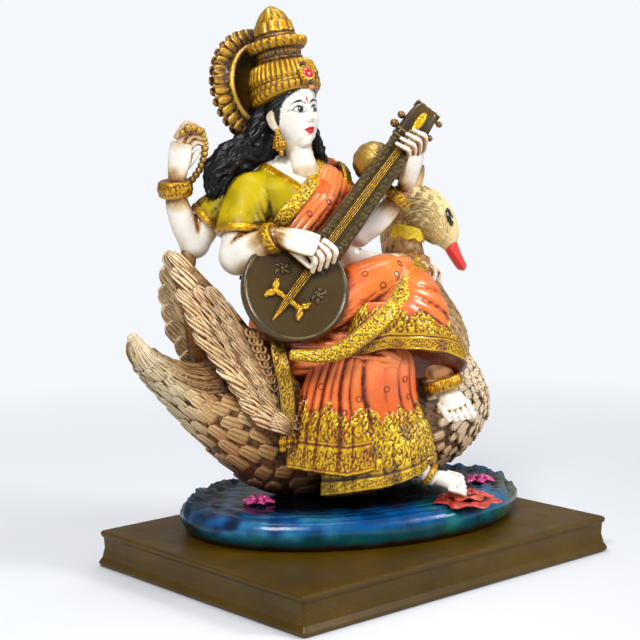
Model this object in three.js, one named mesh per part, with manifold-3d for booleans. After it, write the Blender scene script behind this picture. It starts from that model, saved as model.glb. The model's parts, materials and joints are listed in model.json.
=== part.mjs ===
// A painted cast-resin figure: a crowned goddess with four arms plays a long lute,
// seated sideways on a swan that floats on a pond, all cast as one on a rectangular plinth.
// Millimetres, +Z up. The origin is the centre of the plinth's underside, +X runs along its
// long side towards the swan's head, and the goddess faces -Y.
import * as THREE from "three";
import { mergeVertices } from "three/addons/utils/BufferGeometryUtils.js";
import Module from "manifold-3d";

const wasm = await Module();
wasm.setup();

// Driving sizes of the casting
const figureHeight = 297; // from the pond's top to the crown's tip
const pondLength = 224;
const pondWidth = 156;
const pondThickness = 18;
const castingTurn = THREE.MathUtils.degToRad(-15); // how the casting is glued on, seen from above

// Driving sizes of the plinth
const plinthHeight = 22;
const marginLeft = 25; // from the pond's edge to the plinth's edge
const marginRight = 9;
const marginFront = 27.4;
const marginBack = 3.6;
const cornerRadius = 2.5;
const sideHollow = 2.6; // how far the plinth's side draws in below its top bead
const topBead = 1.8;
const glueGap = 0.3; // a hair's breadth between the casting and the plinth

// The sculpt's own measure: its coordinates are millimetres when the figure is this tall
const sculptHeight = 297;
const sculptBase = 18; // the pond's top in the sculpt's coordinates
const unit = figureHeight / sculptHeight;

const up = new THREE.Vector3(0, 0, 1);
const front = new THREE.Vector3(0, -1, 0);
const side = new THREE.Vector3(1, 0, 0);
const point = (x, y, z) => new THREE.Vector3(x, y, z);
const mix = THREE.MathUtils.lerp;

const shortestEdge = 1.2; // shorter edges, left where the forms meet, are closed up

// A closed shape from shared vertices and triangles, with its faces turned outwards
function closedShape(vertices, triangles) {
  const at = (i) => point(vertices[3 * i], vertices[3 * i + 1], vertices[3 * i + 2]);
  let volume = 0;
  for (let i = 0; i < triangles.length; i += 3) {
    const [a, b, c] = triangles.slice(i, i + 3).map(at);
    volume += a.dot(b.cross(c));
  }
  const order = volume > 0 ? triangles : [...triangles].reverse();
  const shape = new THREE.BufferGeometry();
  shape.setAttribute("position", new THREE.Float32BufferAttribute(vertices, 3));
  shape.setIndex(order);
  return shape;
}

// A three.js geometry with its vertices shared, placed by a matrix
function formed(geometry, matrix = new THREE.Matrix4()) {
  const bare = geometry.clone().applyMatrix4(matrix);
  bare.deleteAttribute("normal");
  bare.deleteAttribute("uv");
  const merged = mergeVertices(bare, 1e-4);
  return closedShape([...merged.attributes.position.array], [...merged.index.array]);
}

const placed = (forms, matrix) => forms.map((form) => form.clone().applyMatrix4(matrix));

function solidOf(form) {
  return new wasm.Manifold(
    new wasm.Mesh({
      numProp: 3,
      vertProperties: new Float32Array(form.attributes.position.array),
      triVerts: new Uint32Array(form.index.array),
    }),
  );
}

function formOf(solid) {
  const mesh = solid.getMesh();
  return closedShape([...mesh.vertProperties], [...mesh.triVerts]);
}

const join = (forms) => formOf(forms.map(solidOf).reduce((whole, next) => whole.add(next)));
const cut = (form, tool) => formOf(solidOf(form).subtract(solidOf(tool)));

// Only the outermost skin of a form, so that no hollow is left sealed inside it
function outerSkin(form) {
  const index = [...form.index.array];
  const owner = [...Array(form.attributes.position.count).keys()];
  const find = (i) => {
    while (owner[i] !== i) i = owner[i] = owner[owner[i]];
    return i;
  };
  for (let i = 0; i < index.length; i += 3) {
    owner[find(index[i])] = find(index[i + 1]);
    owner[find(index[i + 1])] = find(index[i + 2]);
  }
  const sizes = new Map();
  index.forEach((i) => sizes.set(find(i), (sizes.get(find(i)) ?? 0) + 1));
  const largest = [...sizes].sort((a, b) => b[1] - a[1])[0][0];
  const kept = index.filter((i) => find(i) === largest);
  const loose = new THREE.BufferGeometry();
  loose.setAttribute("position", form.attributes.position);
  loose.setIndex(kept);
  return formed(loose.toNonIndexed());
}

// Closes up edges shorter than a length, which are left in numbers where forms meet. An edge is
// kept if closing it would turn a facet over or pinch the surface.
function closeShortEdges(form, shortest) {
  const vertices = [];
  for (let i = 0; i < form.attributes.position.count; i++) {
    vertices.push(point(0, 0, 0).fromBufferAttribute(form.attributes.position, i));
  }
  const facets = [];
  const around = vertices.map(() => new Set());
  for (let i = 0; i < form.index.count; i += 3) {
    const facet = [0, 1, 2].map((k) => form.index.getX(i + k));
    facets.push(facet);
    facet.forEach((v) => around[v].add(facet));
  }
  const neighbours = (v) => new Set([...around[v]].flat().filter((other) => other !== v));
  const normal = (a, b, c) => b.clone().sub(a).cross(c.clone().sub(a)).normalize();
  const turnsOver = (v, other, target) =>
    [...around[v]].some((facet) => {
      if (facet.includes(other)) return false;
      const corners = facet.map((i) => vertices[i]);
      const moved = facet.map((i) => (i === v ? target : vertices[i]));
      return normal(...corners).dot(normal(...moved)) < 0.5;
    });
  const close = (kept, gone, target) => {
    vertices[kept].copy(target);
    for (const facet of [...around[gone]]) {
      if (facet.includes(kept)) {
        facet.forEach((v) => around[v].delete(facet));
        facet.dead = true;
        continue;
      }
      facet[facet.indexOf(gone)] = kept;
      around[kept].add(facet);
    }
    around[gone].clear();
  };
  for (let limit = shortest / 4; limit <= shortest; limit += shortest / 4) {
    for (const facet of facets) {
      for (let k = 0; k < 3 && !facet.dead; k++) {
        const [a, b] = [facet[k], facet[(k + 1) % 3]];
        if (vertices[a].distanceTo(vertices[b]) > limit) continue;
        const shared = [...neighbours(a)].filter((v) => neighbours(b).has(v));
        if (shared.length !== 2) continue;
        const middle = vertices[a].clone().lerp(vertices[b], 0.5);
        const target = [vertices[a].clone(), vertices[b].clone(), middle].find(
          (place) => !turnsOver(a, b, place) && !turnsOver(b, a, place),
        );
        if (target) close(a, b, target);
      }
    }
  }
  const kept = facets.filter((facet) => !facet.dead).flat();
  const renumber = new Map([...new Set(kept)].map((v, i) => [v, i]));
  const places = [...renumber.keys()].flatMap((v) => vertices[v].toArray());
  return closedShape(places, kept.map((v) => renumber.get(v)));
}

// A skin over rings of equal count, closed by a fan at each end
function skin(rings) {
  const count = rings[0].length;
  const vertices = [];
  const triangles = [];
  const add = (p) => vertices.push(p.x, p.y, p.z) / 3 - 1;
  rings.forEach((ring) => ring.forEach(add));
  const last = (rings.length - 1) * count;
  for (let r = 0; r < rings.length - 1; r++) {
    for (let i = 0; i < count; i++) {
      const a = r * count + i;
      const b = r * count + ((i + 1) % count);
      triangles.push(a, b, a + count, b, b + count, a + count);
    }
  }
  const middle = (ring) => ring.reduce((sum, p) => sum.add(p), point(0, 0, 0)).divideScalar(count);
  const start = add(middle(rings[0]));
  const end = add(middle(rings[rings.length - 1]));
  for (let i = 0; i < count; i++) {
    const next = (i + 1) % count;
    triangles.push(start, next, i, end, last + i, last + next);
  }
  return closedShape(vertices, triangles);
}

// A section swept along a smooth line. Each station is [x, y, z, across, deep], where across and
// deep are the section's half sizes and deep lies along the facing direction. wave(angle, t) may
// swell or fold the section, and drop(angle, t) may raise its rim.
function sweep({ stations, facing = front, sides = 8, steps = 1, wave = null, drop = null }) {
  const line = new THREE.CatmullRomCurve3(stations.map(([x, y, z]) => point(x, y, z)));
  const girth = new THREE.CatmullRomCurve3(stations.map(([, , , a, b]) => point(a, b, 0)));
  const rings = [];
  const total = (stations.length - 1) * steps;
  for (let s = 0; s <= total; s++) {
    const t = s / total;
    const centre = line.getPoint(t);
    const along = line.getTangent(t);
    const size = girth.getPoint(t);
    const deep = facing.clone().addScaledVector(along, -facing.dot(along)).normalize();
    const across = new THREE.Vector3().crossVectors(along, deep);
    const ring = [];
    for (let i = 0; i < sides; i++) {
      const angle = (i / sides) * 2 * Math.PI;
      const swell = wave ? wave(angle, t) : 1;
      const p = centre
        .clone()
        .addScaledVector(across, Math.cos(angle) * size.x * swell)
        .addScaledVector(deep, Math.sin(angle) * size.y * swell);
      if (drop) p.z += drop(angle, t);
      ring.push(p);
    }
    rings.push(ring);
  }
  return skin(rings);
}

// An ellipsoid whose long axis follows a direction
function ball(centre, radii, axis = up, wide = 6, high = 4) {
  const turn = new THREE.Quaternion().setFromUnitVectors(point(0, 1, 0), axis.clone().normalize());
  const size = point(radii[0], radii[2], radii[1]);
  const place = new THREE.Matrix4().compose(point(...centre), turn, size);
  return formed(new THREE.SphereGeometry(1, wide, high), place);
}

// A flat leaf or feather from root to tip, broadest past its middle, with a ridge along it
function leaf(root, tip, width, thickness, facing, bow = 0) {
  const middle = point(...root).lerp(point(...tip), 0.6).addScaledVector(facing, bow);
  return sweep({
    stations: [
      [...root, width * 0.3, thickness / 2],
      [...middle.toArray(), width / 2, thickness / 2],
      [...tip, width * 0.12, thickness * 0.2],
    ],
    facing,
    sides: 4,
  });
}

// A solid of revolution whose radius may swell with the angle. Rows are [radius, height].
function turned(rows, around, swell = null) {
  return skin(
    rows.map(([radius, height], row) => {
      const list = [];
      for (let i = 0; i < around; i++) {
        const angle = (i / around) * 2 * Math.PI;
        const r = radius * (swell ? swell(angle, row / (rows.length - 1)) : 1);
        list.push(point(r * Math.cos(angle), r * Math.sin(angle), height));
      }
      return list;
    }),
  );
}

// A round band about an axis, as a bangle, a sleeve's hem or a collar
function band(centre, axis, radius, width, around = 8) {
  const turn = new THREE.Quaternion().setFromUnitVectors(up, axis.clone().normalize());
  const place = new THREE.Matrix4().compose(point(...centre), turn, point(1, 1, 1));
  const rows = [
    [radius * 0.84, -width / 2],
    [radius, -width / 5],
    [radius, width / 5],
    [radius * 0.84, width / 2],
  ];
  return turned(rows, around).applyMatrix4(place);
}

// The pond: a rounded slab with an uneven rim
function makePond() {
  const halfLength = pondLength / 2;
  const halfWidth = pondWidth / 2;
  const around = 32;
  // each row is [share of the outline, share of the thickness]
  const rows = [
    [0.96, 0],
    [0.99, 0.22],
    [1.0, 0.55],
    [0.975, 0.84],
    [0.89, 1.0],
  ];
  return skin(
    rows.map(([share, level]) => {
      const list = [];
      for (let i = 0; i < around; i++) {
        const angle = (i / around) * 2 * Math.PI;
        const rough = 1 + level * (0.012 * Math.sin(5 * angle + 1) + 0.01 * Math.sin(9 * angle));
        const swell = level > 0.8 ? 0.8 * Math.sin(4 * angle + 2) : 0;
        list.push(
          point(
            Math.cos(angle) * halfLength * share * rough,
            Math.sin(angle) * halfWidth * share * rough,
            pondThickness * level + swell,
          ),
        );
      }
      return list;
    }),
  );
}

// An open flower lying on the water: a saucer whose rim is cut into petals
function makeFlower(x, y, radius, height, petals) {
  const rows = [
    [radius * 0.7, -1],
    [radius, height * 0.6],
    [radius * 0.5, height],
  ];
  const lobes = (angle, t) => 1 + 0.22 * Math.sin(Math.PI * t) * Math.cos(petals * angle);
  const place = new THREE.Matrix4().makeTranslation(x, y, sculptBase);
  return turned(rows, petals * 2, lobes).applyMatrix4(place);
}

// The swan's body with its breast and the swept-up stern
function makeSwanBody() {
  return sweep({
    stations: [
      [-131, 12, 106.5, 12, 9],
      [-121, 12, 98.8, 19, 9.8],
      [-102, 11, 85.5, 24.5, 17.2],
      [-80, 9, 74.2, 30.5, 28.2],
      [-62, 8.5, 67.2, 34.5, 37.3],
      [-45, 8, 62.4, 37, 44.6],
      [-2, 8, 62, 41, 46],
      [38, 8, 65, 40, 45],
      [70, 8, 71, 33, 38],
      [88, 8, 75, 22, 26],
      [97, 8, 78, 6, 8],
    ],
    facing: up,
    sides: 14,
  });
}

function makeSwanTail() {
  const feathers = [];
  const count = 5;
  for (let i = 0; i < count; i++) {
    const spread = (i / (count - 1)) * 2 - 1;
    const root = [-98, 10 + spread * 14, 92];
    const tip = [-137 + Math.abs(spread) * 7, 13 + spread * 27, 121 - Math.abs(spread) * 9];
    feathers.push(leaf(root, tip, 19, 5, point(-0.6, 0, -0.8), 6));
  }
  return feathers;
}

// The neck rises from the breast in a long curve
function makeSwanNeck() {
  return sweep({
    stations: [
      [58, 8, 86, 27, 30],
      [64, 9, 108, 20, 23],
      [57, 11, 132, 14.5, 16],
      [47, 12, 152, 12.5, 13],
      [42, 12, 172, 12, 12.5],
      [42, 11, 188, 12.5, 13],
    ],
    facing: side,
    sides: 10,
  });
}

function makeSwanHead() {
  const skull = sweep({
    stations: [
      [33, 12, 188, 8, 8],
      [41, 10, 192, 14, 14.5],
      [53, 6, 190, 15, 16],
      [63, 3, 182, 13, 13.5],
      [69, 1, 173, 8.5, 9],
      [71, 0, 168, 5, 5],
    ],
    facing: up,
    sides: 10,
  });
  const bill = sweep({
    stations: [
      [64, 2, 177, 5.6, 6],
      [71, 0, 167, 4.8, 4.4],
      [75, -1, 160.5, 5, 3.6],
      [79, -1.6, 154, 4.6, 2.8],
      [80, -1.8, 152.4, 2.4, 1.4],
    ],
    facing: side,
    sides: 6,
  });
  const crest = sweep({
    stations: [
      [42, 10, 202, 7, 7],
      [42, 10, 211, 3.6, 3.6],
      [44, 10, 219, 1.6, 1.6],
    ],
    facing: side,
    sides: 5,
  });
  return [skull, bill, crest, band([43, 12, 175], point(0.1, 0, 1), 14, 8, 12)];
}

// A raised wing: a broad blade from the flank to the tip, edged with two rows of long feathers.
// hand is -1 for the wing on the goddess's right and +1 for the far one.
function makeWing(hand) {
  const middle = 8;
  const place = (x, out, z) => [x, middle + hand * out, z];
  const facing = point(-0.25, hand, 0.1).normalize();
  const blade = sweep({
    stations: [
      [...place(-50, 34, 66), 16, 5],
      [...place(-66, 36, 84), 22, 7.5],
      [...place(-79, 30, 108), 18, 7.5],
      [...place(-90, 22, 132), 13, 6.5],
      [...place(-101, 13, 152), 9, 5],
      [...place(-106, 7, 164), 4, 3],
    ],
    facing,
    sides: 8,
  });
  const feathers = [];
  const rows = [
    { count: 6, from: [-70, 36, 82], to: [-97, 12, 148], tipFrom: [-103, 31, 94], tipTo: [-117, 4, 165] },
    { count: 4, from: [-56, 37, 82], to: [-90, 18, 142], tipFrom: [-84, 38, 84], tipTo: [-107, 12, 150] },
  ];
  for (const { count, from, to, tipFrom, tipTo } of rows) {
    for (let i = 0; i < count; i++) {
      const t = i / (count - 1);
      const root = from.map((v, k) => mix(v, to[k], t));
      const tip = tipFrom.map((v, k) => mix(v, tipTo[k], t));
      tip[0] -= 5 * Math.sin(Math.PI * t);
      feathers.push(leaf(place(...root), place(...tip), 16, 5, facing, 2));
    }
  }
  return [blade, ...feathers];
}

// The goddess's trunk from the seat to the base of the neck
function makeTrunk() {
  return sweep({
    stations: [
      [-34, 2, 104, 28, 20],
      [-37, 1, 130, 29, 21],
      [-40, 0, 152, 20, 15],
      [-41, -1, 172, 23, 17],
      [-41, -3, 190, 27, 19],
      [-40, -1, 205, 33, 16],
      [-40, 1, 215, 25, 12.5],
      [-39, 0, 222, 12, 10],
    ],
    sides: 12,
  });
}

function makeThighs() {
  const right = sweep({
    stations: [
      [-54, -2, 112, 24, 22],
      [-38, -22, 112, 23, 20],
      [-16, -38, 110, 20, 17],
      [-3, -46, 107, 15, 14],
      [5, -50, 104, 8, 8],
    ],
    facing: up,
    sides: 10,
  });
  const left = sweep({
    stations: [
      [-42, -6, 120, 26, 24],
      [-22, -22, 133, 26, 24],
      [-2, -32, 146, 21, 20],
      [11, -37, 152, 18, 17],
      [21, -40, 152, 9, 9],
    ],
    facing: up,
    sides: 12,
  });
  return [right, left];
}

// The raised shin in its cloth, whose hem flares over the lower lap
function makeShinCloth() {
  const folds = (angle, t) => 1 + 0.06 * t * Math.sin(6 * angle);
  const hem = (angle, t) => t * t * (10 * Math.cos(angle) + 8 * Math.sin(angle));
  const cloth = sweep({
    stations: [
      [12, -38, 162, 8, 7],
      [14, -41, 149, 19, 15],
      [14, -45, 135, 28, 17],
      [11, -47, 122, 36, 18],
      [11, -47, 106, 41, 18],
    ],
    sides: 20,
    wave: folds,
    drop: hem,
  });
  const shin = sweep({
    stations: [
      [30, -40, 120, 13, 12],
      [34, -42, 104, 12, 11],
      [38, -44, 91, 8, 8],
      [42, -46, 80, 6, 7],
    ],
    sides: 8,
  });
  return [cloth, shin, band([39, -44.5, 89], point(0.25, -0.15, -1), 10, 5)];
}

// The gold-edged border of the upper drape, from the raised knee down across the lap
function makeDrapeBorder() {
  return sweep({
    stations: [
      [17, -47, 163, 3, 3],
      [11, -52, 155, 4.5, 4],
      [-2, -58, 145, 5, 5],
      [-17, -60, 132, 5, 6],
      [-37, -57, 117, 5, 7],
      [-60, -40, 108, 4, 6],
    ],
    facing: front,
    sides: 6,
  });
}

// The pleated skirt over the hanging right leg, and the petticoat that shows below it
function makeSkirt() {
  const pleats = 9;
  const hem = (angle, t) => t * t * (-9 * Math.cos(angle) - 14 * Math.sin(angle));
  const outer = sweep({
    stations: [
      [-12, -38, 119, 19, 11],
      [-13, -38, 108, 32, 20],
      [-15, -36, 88, 37, 22],
      [-17, -36, 72, 41, 25],
      [-18, -36, 55, 45, 28],
    ],
    sides: 36,
    wave: (angle, t) => 1 + 0.045 * t * Math.cos(pleats * angle),
    drop: hem,
  });
  const petticoat = sweep({
    stations: [
      [-5, -38, 62, 31, 20],
      [-5, -40, 50, 33, 21],
      [-4, -42, 38, 35, 22],
    ],
    sides: 24,
    wave: (angle, t) => 1 + 0.035 * t * Math.cos(6 * angle),
    drop: (angle, t) => t * (-7 * Math.cos(angle) - 8 * Math.sin(angle)),
  });
  return [outer, petticoat];
}

// The loose end of the sari, a flat strip that hangs over the swan's flank
function makeSariEnd() {
  return sweep({
    stations: [
      [-60, -26, 122, 8, 3],
      [-64, -36, 108, 7, 3],
      [-65, -37, 88, 6, 2.8],
      [-65.5, -36, 64, 6.4, 2.8],
    ],
    sides: 6,
  });
}

// The sari's fold over the left shoulder and across the breast
function makeShoulderSari() {
  return sweep({
    stations: [
      [-8, 12, 196, 11, 4],
      [-10, 6, 213, 12, 4.5],
      [-15, -8, 212, 13, 5],
      [-26, -18, 199, 16, 5],
      [-38, -21, 185, 17, 5],
      [-50, -19, 169, 14, 4],
      [-58, -12, 156, 9, 3],
    ],
    facing: point(0.1, -1, 0.5).normalize(),
    sides: 10,
  });
}

// A hand from the wrist to the knuckles with four bent fingers and a thumb
function makeHand({ wrist, knuckles, bend, tips, spread, back, thumb }) {
  const w = point(...wrist);
  const k = point(...knuckles);
  const wide = point(...spread).normalize();
  const palm = sweep({
    stations: [
      [...wrist, 4.4, 3.8],
      [...w.lerp(k, 0.55).toArray(), 7, 3.9],
      [...knuckles, 7, 2.8],
    ],
    facing: point(...back).normalize(),
    sides: 8,
  });
  const fingers = [];
  const pitch = 3.7;
  for (let i = 0; i < 4; i++) {
    const along = (origin, share) =>
      point(...origin)
        .addScaledVector(wide, (i - 1.5) * pitch * share)
        .toArray();
    fingers.push(
      sweep({
        stations: [
          [...along(knuckles, 0.95), 1.8, 1.8],
          [...along(bend, 1), 1.8, 1.8],
          [...along(tips, 0.98), 1.3, 1.3],
        ],
        facing: wide,
        sides: 4,
      }),
    );
  }
  const thumbWidths = [2.8, 2.6, 1.6];
  fingers.push(
    sweep({
      stations: thumb.map((p, i) => [...p, thumbWidths[i], thumbWidths[i]]),
      facing: wide,
      sides: 4,
    }),
  );
  return [palm, ...fingers];
}

// A limb through stations of [x, y, z, radius], as a sleeve with its hem or a forearm with its bangle
const armFacing = point(0.3, -1, 0.2).normalize();
const makeLimb = (stations) =>
  sweep({ stations: stations.map(([x, y, z, r]) => [x, y, z, r, r]), facing: armFacing, sides: 8 });

function makeRightFrontArm() {
  const elbow = [-80, -10, 168];
  const sleeve = makeLimb([
    [-60, -1, 209, 10],
    [-68, -3, 203, 14.5],
    [-74, -6, 192, 14.5],
    [-76, -7.4, 185.5, 15.2],
    [-77, -8.6, 181, 15.2],
    [-77.4, -9, 180, 11.4],
    [...elbow, 11.4],
  ]);
  const forearm = makeLimb([
    [...elbow, 11.4],
    [-76, -20, 172, 10.6],
    [-70.4, -28.5, 177, 8],
    [-69.6, -29.6, 178, 9],
    [-66, -34.6, 181, 8.4],
    [-65, -35.8, 181.3, 5],
  ]);
  const hand = makeHand({
    wrist: [-67, -34, 181],
    knuckles: [-49, -48, 180],
    bend: [-42, -49, 174],
    tips: [-40, -44, 162],
    spread: [0.75, 0.35, 0.25],
    back: [0.15, -0.7, 0.7],
    thumb: [
      [-60, -42, 176],
      [-53, -44, 168],
      [-49, -43, 162],
    ],
  });
  return [sleeve, forearm, ball(elbow, [12, 12, 12], up, 8, 5), ...hand];
}

function makeRightBackArm() {
  const elbow = [-96, 18.5, 175];
  const sleeve = makeLimb([
    [-62, 4, 208, 10],
    [-72, 8, 202, 13],
    [-82, 12, 194, 12.5],
    [-85.4, 13.8, 191, 13.4],
    [-88.4, 15.2, 188, 13.4],
    [-89, 15.6, 187, 9.4],
    [...elbow, 9],
  ]);
  const forearm = makeLimb([
    [...elbow, 9],
    [-104, 17.5, 188, 8],
    [-108.4, 15.6, 201.5, 6.8],
    [-108.8, 15.3, 203.5, 9.6],
    [-109.2, 14.6, 212, 9.4],
    [-109.3, 14.4, 213.5, 5],
  ]);
  const hand = makeHand({
    wrist: [-109, 14, 209],
    knuckles: [-108, 11, 235],
    bend: [-103, 8, 242],
    tips: [-94.5, 6, 239],
    spread: [0.35, 0.4, -0.85],
    back: [-1, -0.3, 0.2],
    thumb: [
      [-106, 10, 220],
      [-100, 6, 227],
      [-95.5, 5, 233],
    ],
  });
  const beadCount = 8;
  const beads = sweep({
    stations: [
      [-96, 5, 241, 2.3, 2.3],
      [-93, 7, 232, 2.3, 2.3],
      [-95, 9, 220, 2.3, 2.3],
      [-101.5, 12, 210, 2.3, 2.3],
    ],
    sides: 5,
    steps: 5,
    wave: (angle, t) => 1 + 0.28 * Math.cos(2 * Math.PI * beadCount * t),
  });
  const elbowRest = ball([-101, 17, 165], [5, 5, 8]);
  return [sleeve, forearm, ball(elbow, [9.6, 9.6, 9.6], up, 8, 5), beads, elbowRest, ...hand];
}

function makeLeftFrontArm() {
  const elbow = [0, -9, 179];
  const sleeve = makeLimb([
    [-20, -1, 209, 10],
    [-12, -2, 203, 13],
    [-6, -4, 193, 13],
    [-4.6, -5.4, 189, 13.8],
    [-3.6, -6.4, 185, 13.8],
    [-3.2, -6.8, 184, 9],
    [...elbow, 8.6],
  ]);
  const forearm = makeLimb([
    [...elbow, 8.6],
    [10, -14, 185, 7.6],
    [19.5, -18, 194, 6.4],
    [21, -18.6, 195.6, 8.8],
    [26.5, -21, 202.5, 8.4],
    [27.3, -21.4, 203.6, 5],
  ]);
  const hand = makeHand({
    wrist: [26.6, -21, 202],
    knuckles: [32, -32, 228],
    bend: [25, -41, 235],
    tips: [14, -40, 236],
    spread: [-0.45, 0.1, 0.85],
    back: [1, -0.6, 0.2],
    thumb: [
      [28, -25, 217],
      [21, -23, 225],
      [14, -24, 230],
    ],
  });
  return [sleeve, forearm, ball(elbow, [9, 9, 9], up, 8, 5), ...hand];
}

function makeLeftBackArm() {
  const arm = makeLimb([
    [-14, 5, 206, 12],
    [-2, 12, 192, 10.5],
    [4, 15, 176, 9],
    [10, 12, 166, 8],
    [26, 1, 161, 7],
    [44, -5, 156, 5],
  ]);
  const hand = makeHand({
    wrist: [43, -5, 156],
    knuckles: [55, -7, 154],
    bend: [60, -8, 148],
    tips: [59, -8, 140],
    spread: [-0.7, -0.75, 0],
    back: [0.3, -0.4, 0.9],
    thumb: [
      [48, -4, 159],
      [54, -3, 162],
      [60, -3, 161],
    ],
  });
  return [arm, ...hand];
}

// A foot from the heel through the ball to the toes
function makeFoot(heel, ballOfFoot, toes, width) {
  const sole = sweep({
    stations: [
      [...heel, width * 0.62, 5],
      [...ballOfFoot, width, 4.4],
      [...toes, width * 0.9, 2.4],
    ],
    facing: up,
    sides: 8,
  });
  const tip = point(...toes);
  const forward = tip.clone().sub(point(...ballOfFoot)).normalize();
  const across = new THREE.Vector3().crossVectors(forward, up).normalize();
  const digits = [];
  for (let i = 0; i < 5; i++) {
    const at = tip
      .clone()
      .addScaledVector(across, (i - 2) * width * 0.42)
      .addScaledVector(forward, 1.4 - Math.abs(i - 1) * 0.6);
    digits.push(ball(at.toArray(), [1.9, 1.9, 3.2], forward, 4, 3));
  }
  return [sole, ...digits];
}

function makeFeet() {
  return [
    ...makeFoot([16, -56, 38], [30, -63, 33], [40, -68, 28], 6.6),
    ...makeFoot([40, -45, 79], [46, -48, 72], [52, -52, 63], 6.6),
    band([19, -57.5, 41], point(0.4, -0.2, 1), 8, 4),
  ];
}

// The head's own frame: its middle, turned a little to her left, tipped back and to her right
const headFrame = new THREE.Matrix4().compose(
  point(-41, -3, 249.5),
  new THREE.Quaternion().setFromEuler(
    new THREE.Euler(
      THREE.MathUtils.degToRad(-12),
      THREE.MathUtils.degToRad(-3.5),
      THREE.MathUtils.degToRad(15),
      "ZYX",
    ),
  ),
  point(1, 1, 1),
);

function makeHead() {
  const face = sweep({
    stations: [
      [0, -6, -19.5, 4.2, 4.6],
      [0, -5, -17, 7.4, 8.4],
      [0, -3.5, -12, 10.4, 11.6],
      [0, -2, -5, 12.8, 14],
      [0, -1, 3, 13.8, 15.4],
      [0, 0, 12, 13.4, 15.6],
      [0, 1, 19, 9, 11],
    ],
    sides: 12,
  });
  const nose = sweep({
    stations: [
      [0, -15, 4.5, 1.4, 1.6],
      [0, -16.8, -1, 1.7, 1.8],
      [0, -18.4, -5.2, 2.5, 1.8],
      [0, -16, -6.8, 2, 1.2],
    ],
    sides: 4,
  });
  const lips = ball([0, -15.2, -10.6], [3.8, 1.6, 1.7], up, 6, 3);
  const sides = [-1, 1].flatMap((hand) => [
    ball([hand * 13.8, -1.5, -3.5], [2, 3.2, 5], up, 5, 4),
    ball([hand * 14, -2.5, -13], [2.2, 2.2, 5.4], up, 4, 3),
  ]);
  const neck = sweep({
    stations: [
      [3, 3, -34, 10, 9],
      [1.5, 1, -24, 8, 8],
      [0, 0, -12, 8.4, 8.6],
    ],
    sides: 8,
  });
  return placed([face, nose, lips, neck, ...sides], headFrame);
}

// Long wavy hair, drawn over the right shoulder and down the back
function makeHair() {
  const locks = (angle, t) => 1 + 0.07 * Math.cos(6 * angle + 5 * t);
  const cap = placed([ball([0, 1.8, 4], [16, 16, 19.5], up, 10, 6)], headFrame);
  const nape = sweep({
    stations: [
      [-46, 6, 252, 14, 12],
      [-53, 11, 238, 16, 12],
      [-57, 14, 226, 19, 9],
      [-54, 18, 206, 21, 7],
      [-48, 20, 182, 19, 7],
      [-44, 20, 158, 14, 6],
      [-42, 18, 138, 6, 4],
    ],
    sides: 10,
    wave: locks,
  });
  const overShoulder = sweep({
    stations: [
      [-54, 4, 240, 12, 8],
      [-64, 6, 229, 11, 8],
      [-76, 7, 221, 9.5, 7.5],
      [-85, 8, 215, 7.5, 7],
      [-87, 9, 206, 5, 5],
      [-88, 10, 201, 2, 2],
    ],
    sides: 8,
    wave: locks,
  });
  const farLock = sweep({
    stations: [
      [-32, 6, 244, 8, 8],
      [-24, 5, 229, 7.5, 7],
      [-20, 6, 214, 2, 2],
    ],
    sides: 6,
  });
  return [...cap, nape, overShoulder, farLock];
}

// The tiered crown with its flutes and lotus bud, and a jewel at the front
function makeCrown() {
  const crownLift = 4.5;
  const browRise = 0.2; // how much the brim rises towards the brow
  // each row is [radius, height, depth of the flutes]
  const tiers = [
    [20.5, 5.5, 0],
    [21.5, 9, 0],
    [20.6, 14, 0.03],
    [17.6, 25, 0.03],
    [13.4, 30, 0],
    [13.4, 33, 0],
    [16.6, 38, 0],
    [15.6, 41, 0],
    [11.6, 43, 0.06],
    [11.6, 49, 0.1],
    [7.4, 56.5, 0.1],
    [1.5, 62.5, 0],
  ];
  const flutes = (angle, t) => 1 + tiers[Math.round(t * (tiers.length - 1))][2] * Math.cos(9 * angle);
  const body = turned(tiers, 18, flutes).applyMatrix4(new THREE.Matrix4().makeTranslation(0, 1, crownLift));
  const rim = body.attributes.position;
  for (let i = 0; i < rim.count; i++) {
    if (rim.getZ(i) < crownLift + 10) rim.setZ(i, rim.getZ(i) - rim.getY(i) * browRise);
  }
  const jewel = ball([0, -20, 16 + crownLift], [4.4, 2.4, 5.4]);
  return placed([body, jewel], headFrame);
}

// The petalled halo behind the crown: a shallow dish with a scalloped rim
function makeHalo() {
  const rows = [
    [26, 5],
    [33, 6.5],
    [36, 3.5],
    [27, -2.6],
    [24, -2.4],
    [22, 0.4],
  ];
  const petals = 16;
  const scallop = (angle, t) =>
    1 + 0.05 * Math.max(0, Math.sin(Math.PI * Math.min(1, t * 2))) * Math.cos(petals * angle);
  const stand = new THREE.Matrix4()
    .makeTranslation(-2, 17, 22)
    .multiply(new THREE.Matrix4().makeRotationX(-Math.PI / 2));
  const dish = turned(rows, petals * 2, scallop).applyMatrix4(stand);
  const bridge = sweep({
    stations: [
      [0, 6, 14, 11, 13],
      [0, 19, 20, 9, 11],
    ],
    facing: up,
    sides: 6,
  });
  return placed([dish, bridge], headFrame);
}

// The lute: a round bowl with a flat face, a long neck, a peg box, and a second gourd behind.
// Its frame has X across the neck, Y along it and Z out of the face.
const luteAlong = point(0.669, 0.072, 0.741).normalize();
const luteOut = point(-0.198, -0.942, 0.271).normalize();
const luteAcross = new THREE.Vector3().crossVectors(luteAlong, luteOut).normalize();
const luteFrame = new THREE.Matrix4()
  .makeBasis(luteAcross, luteAlong, luteOut)
  .setPosition(point(-57.5, -41, 150.8));
const boxAt = (size, centre) =>
  formed(new THREE.BoxGeometry(...size), new THREE.Matrix4().makeTranslation(...centre));

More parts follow.
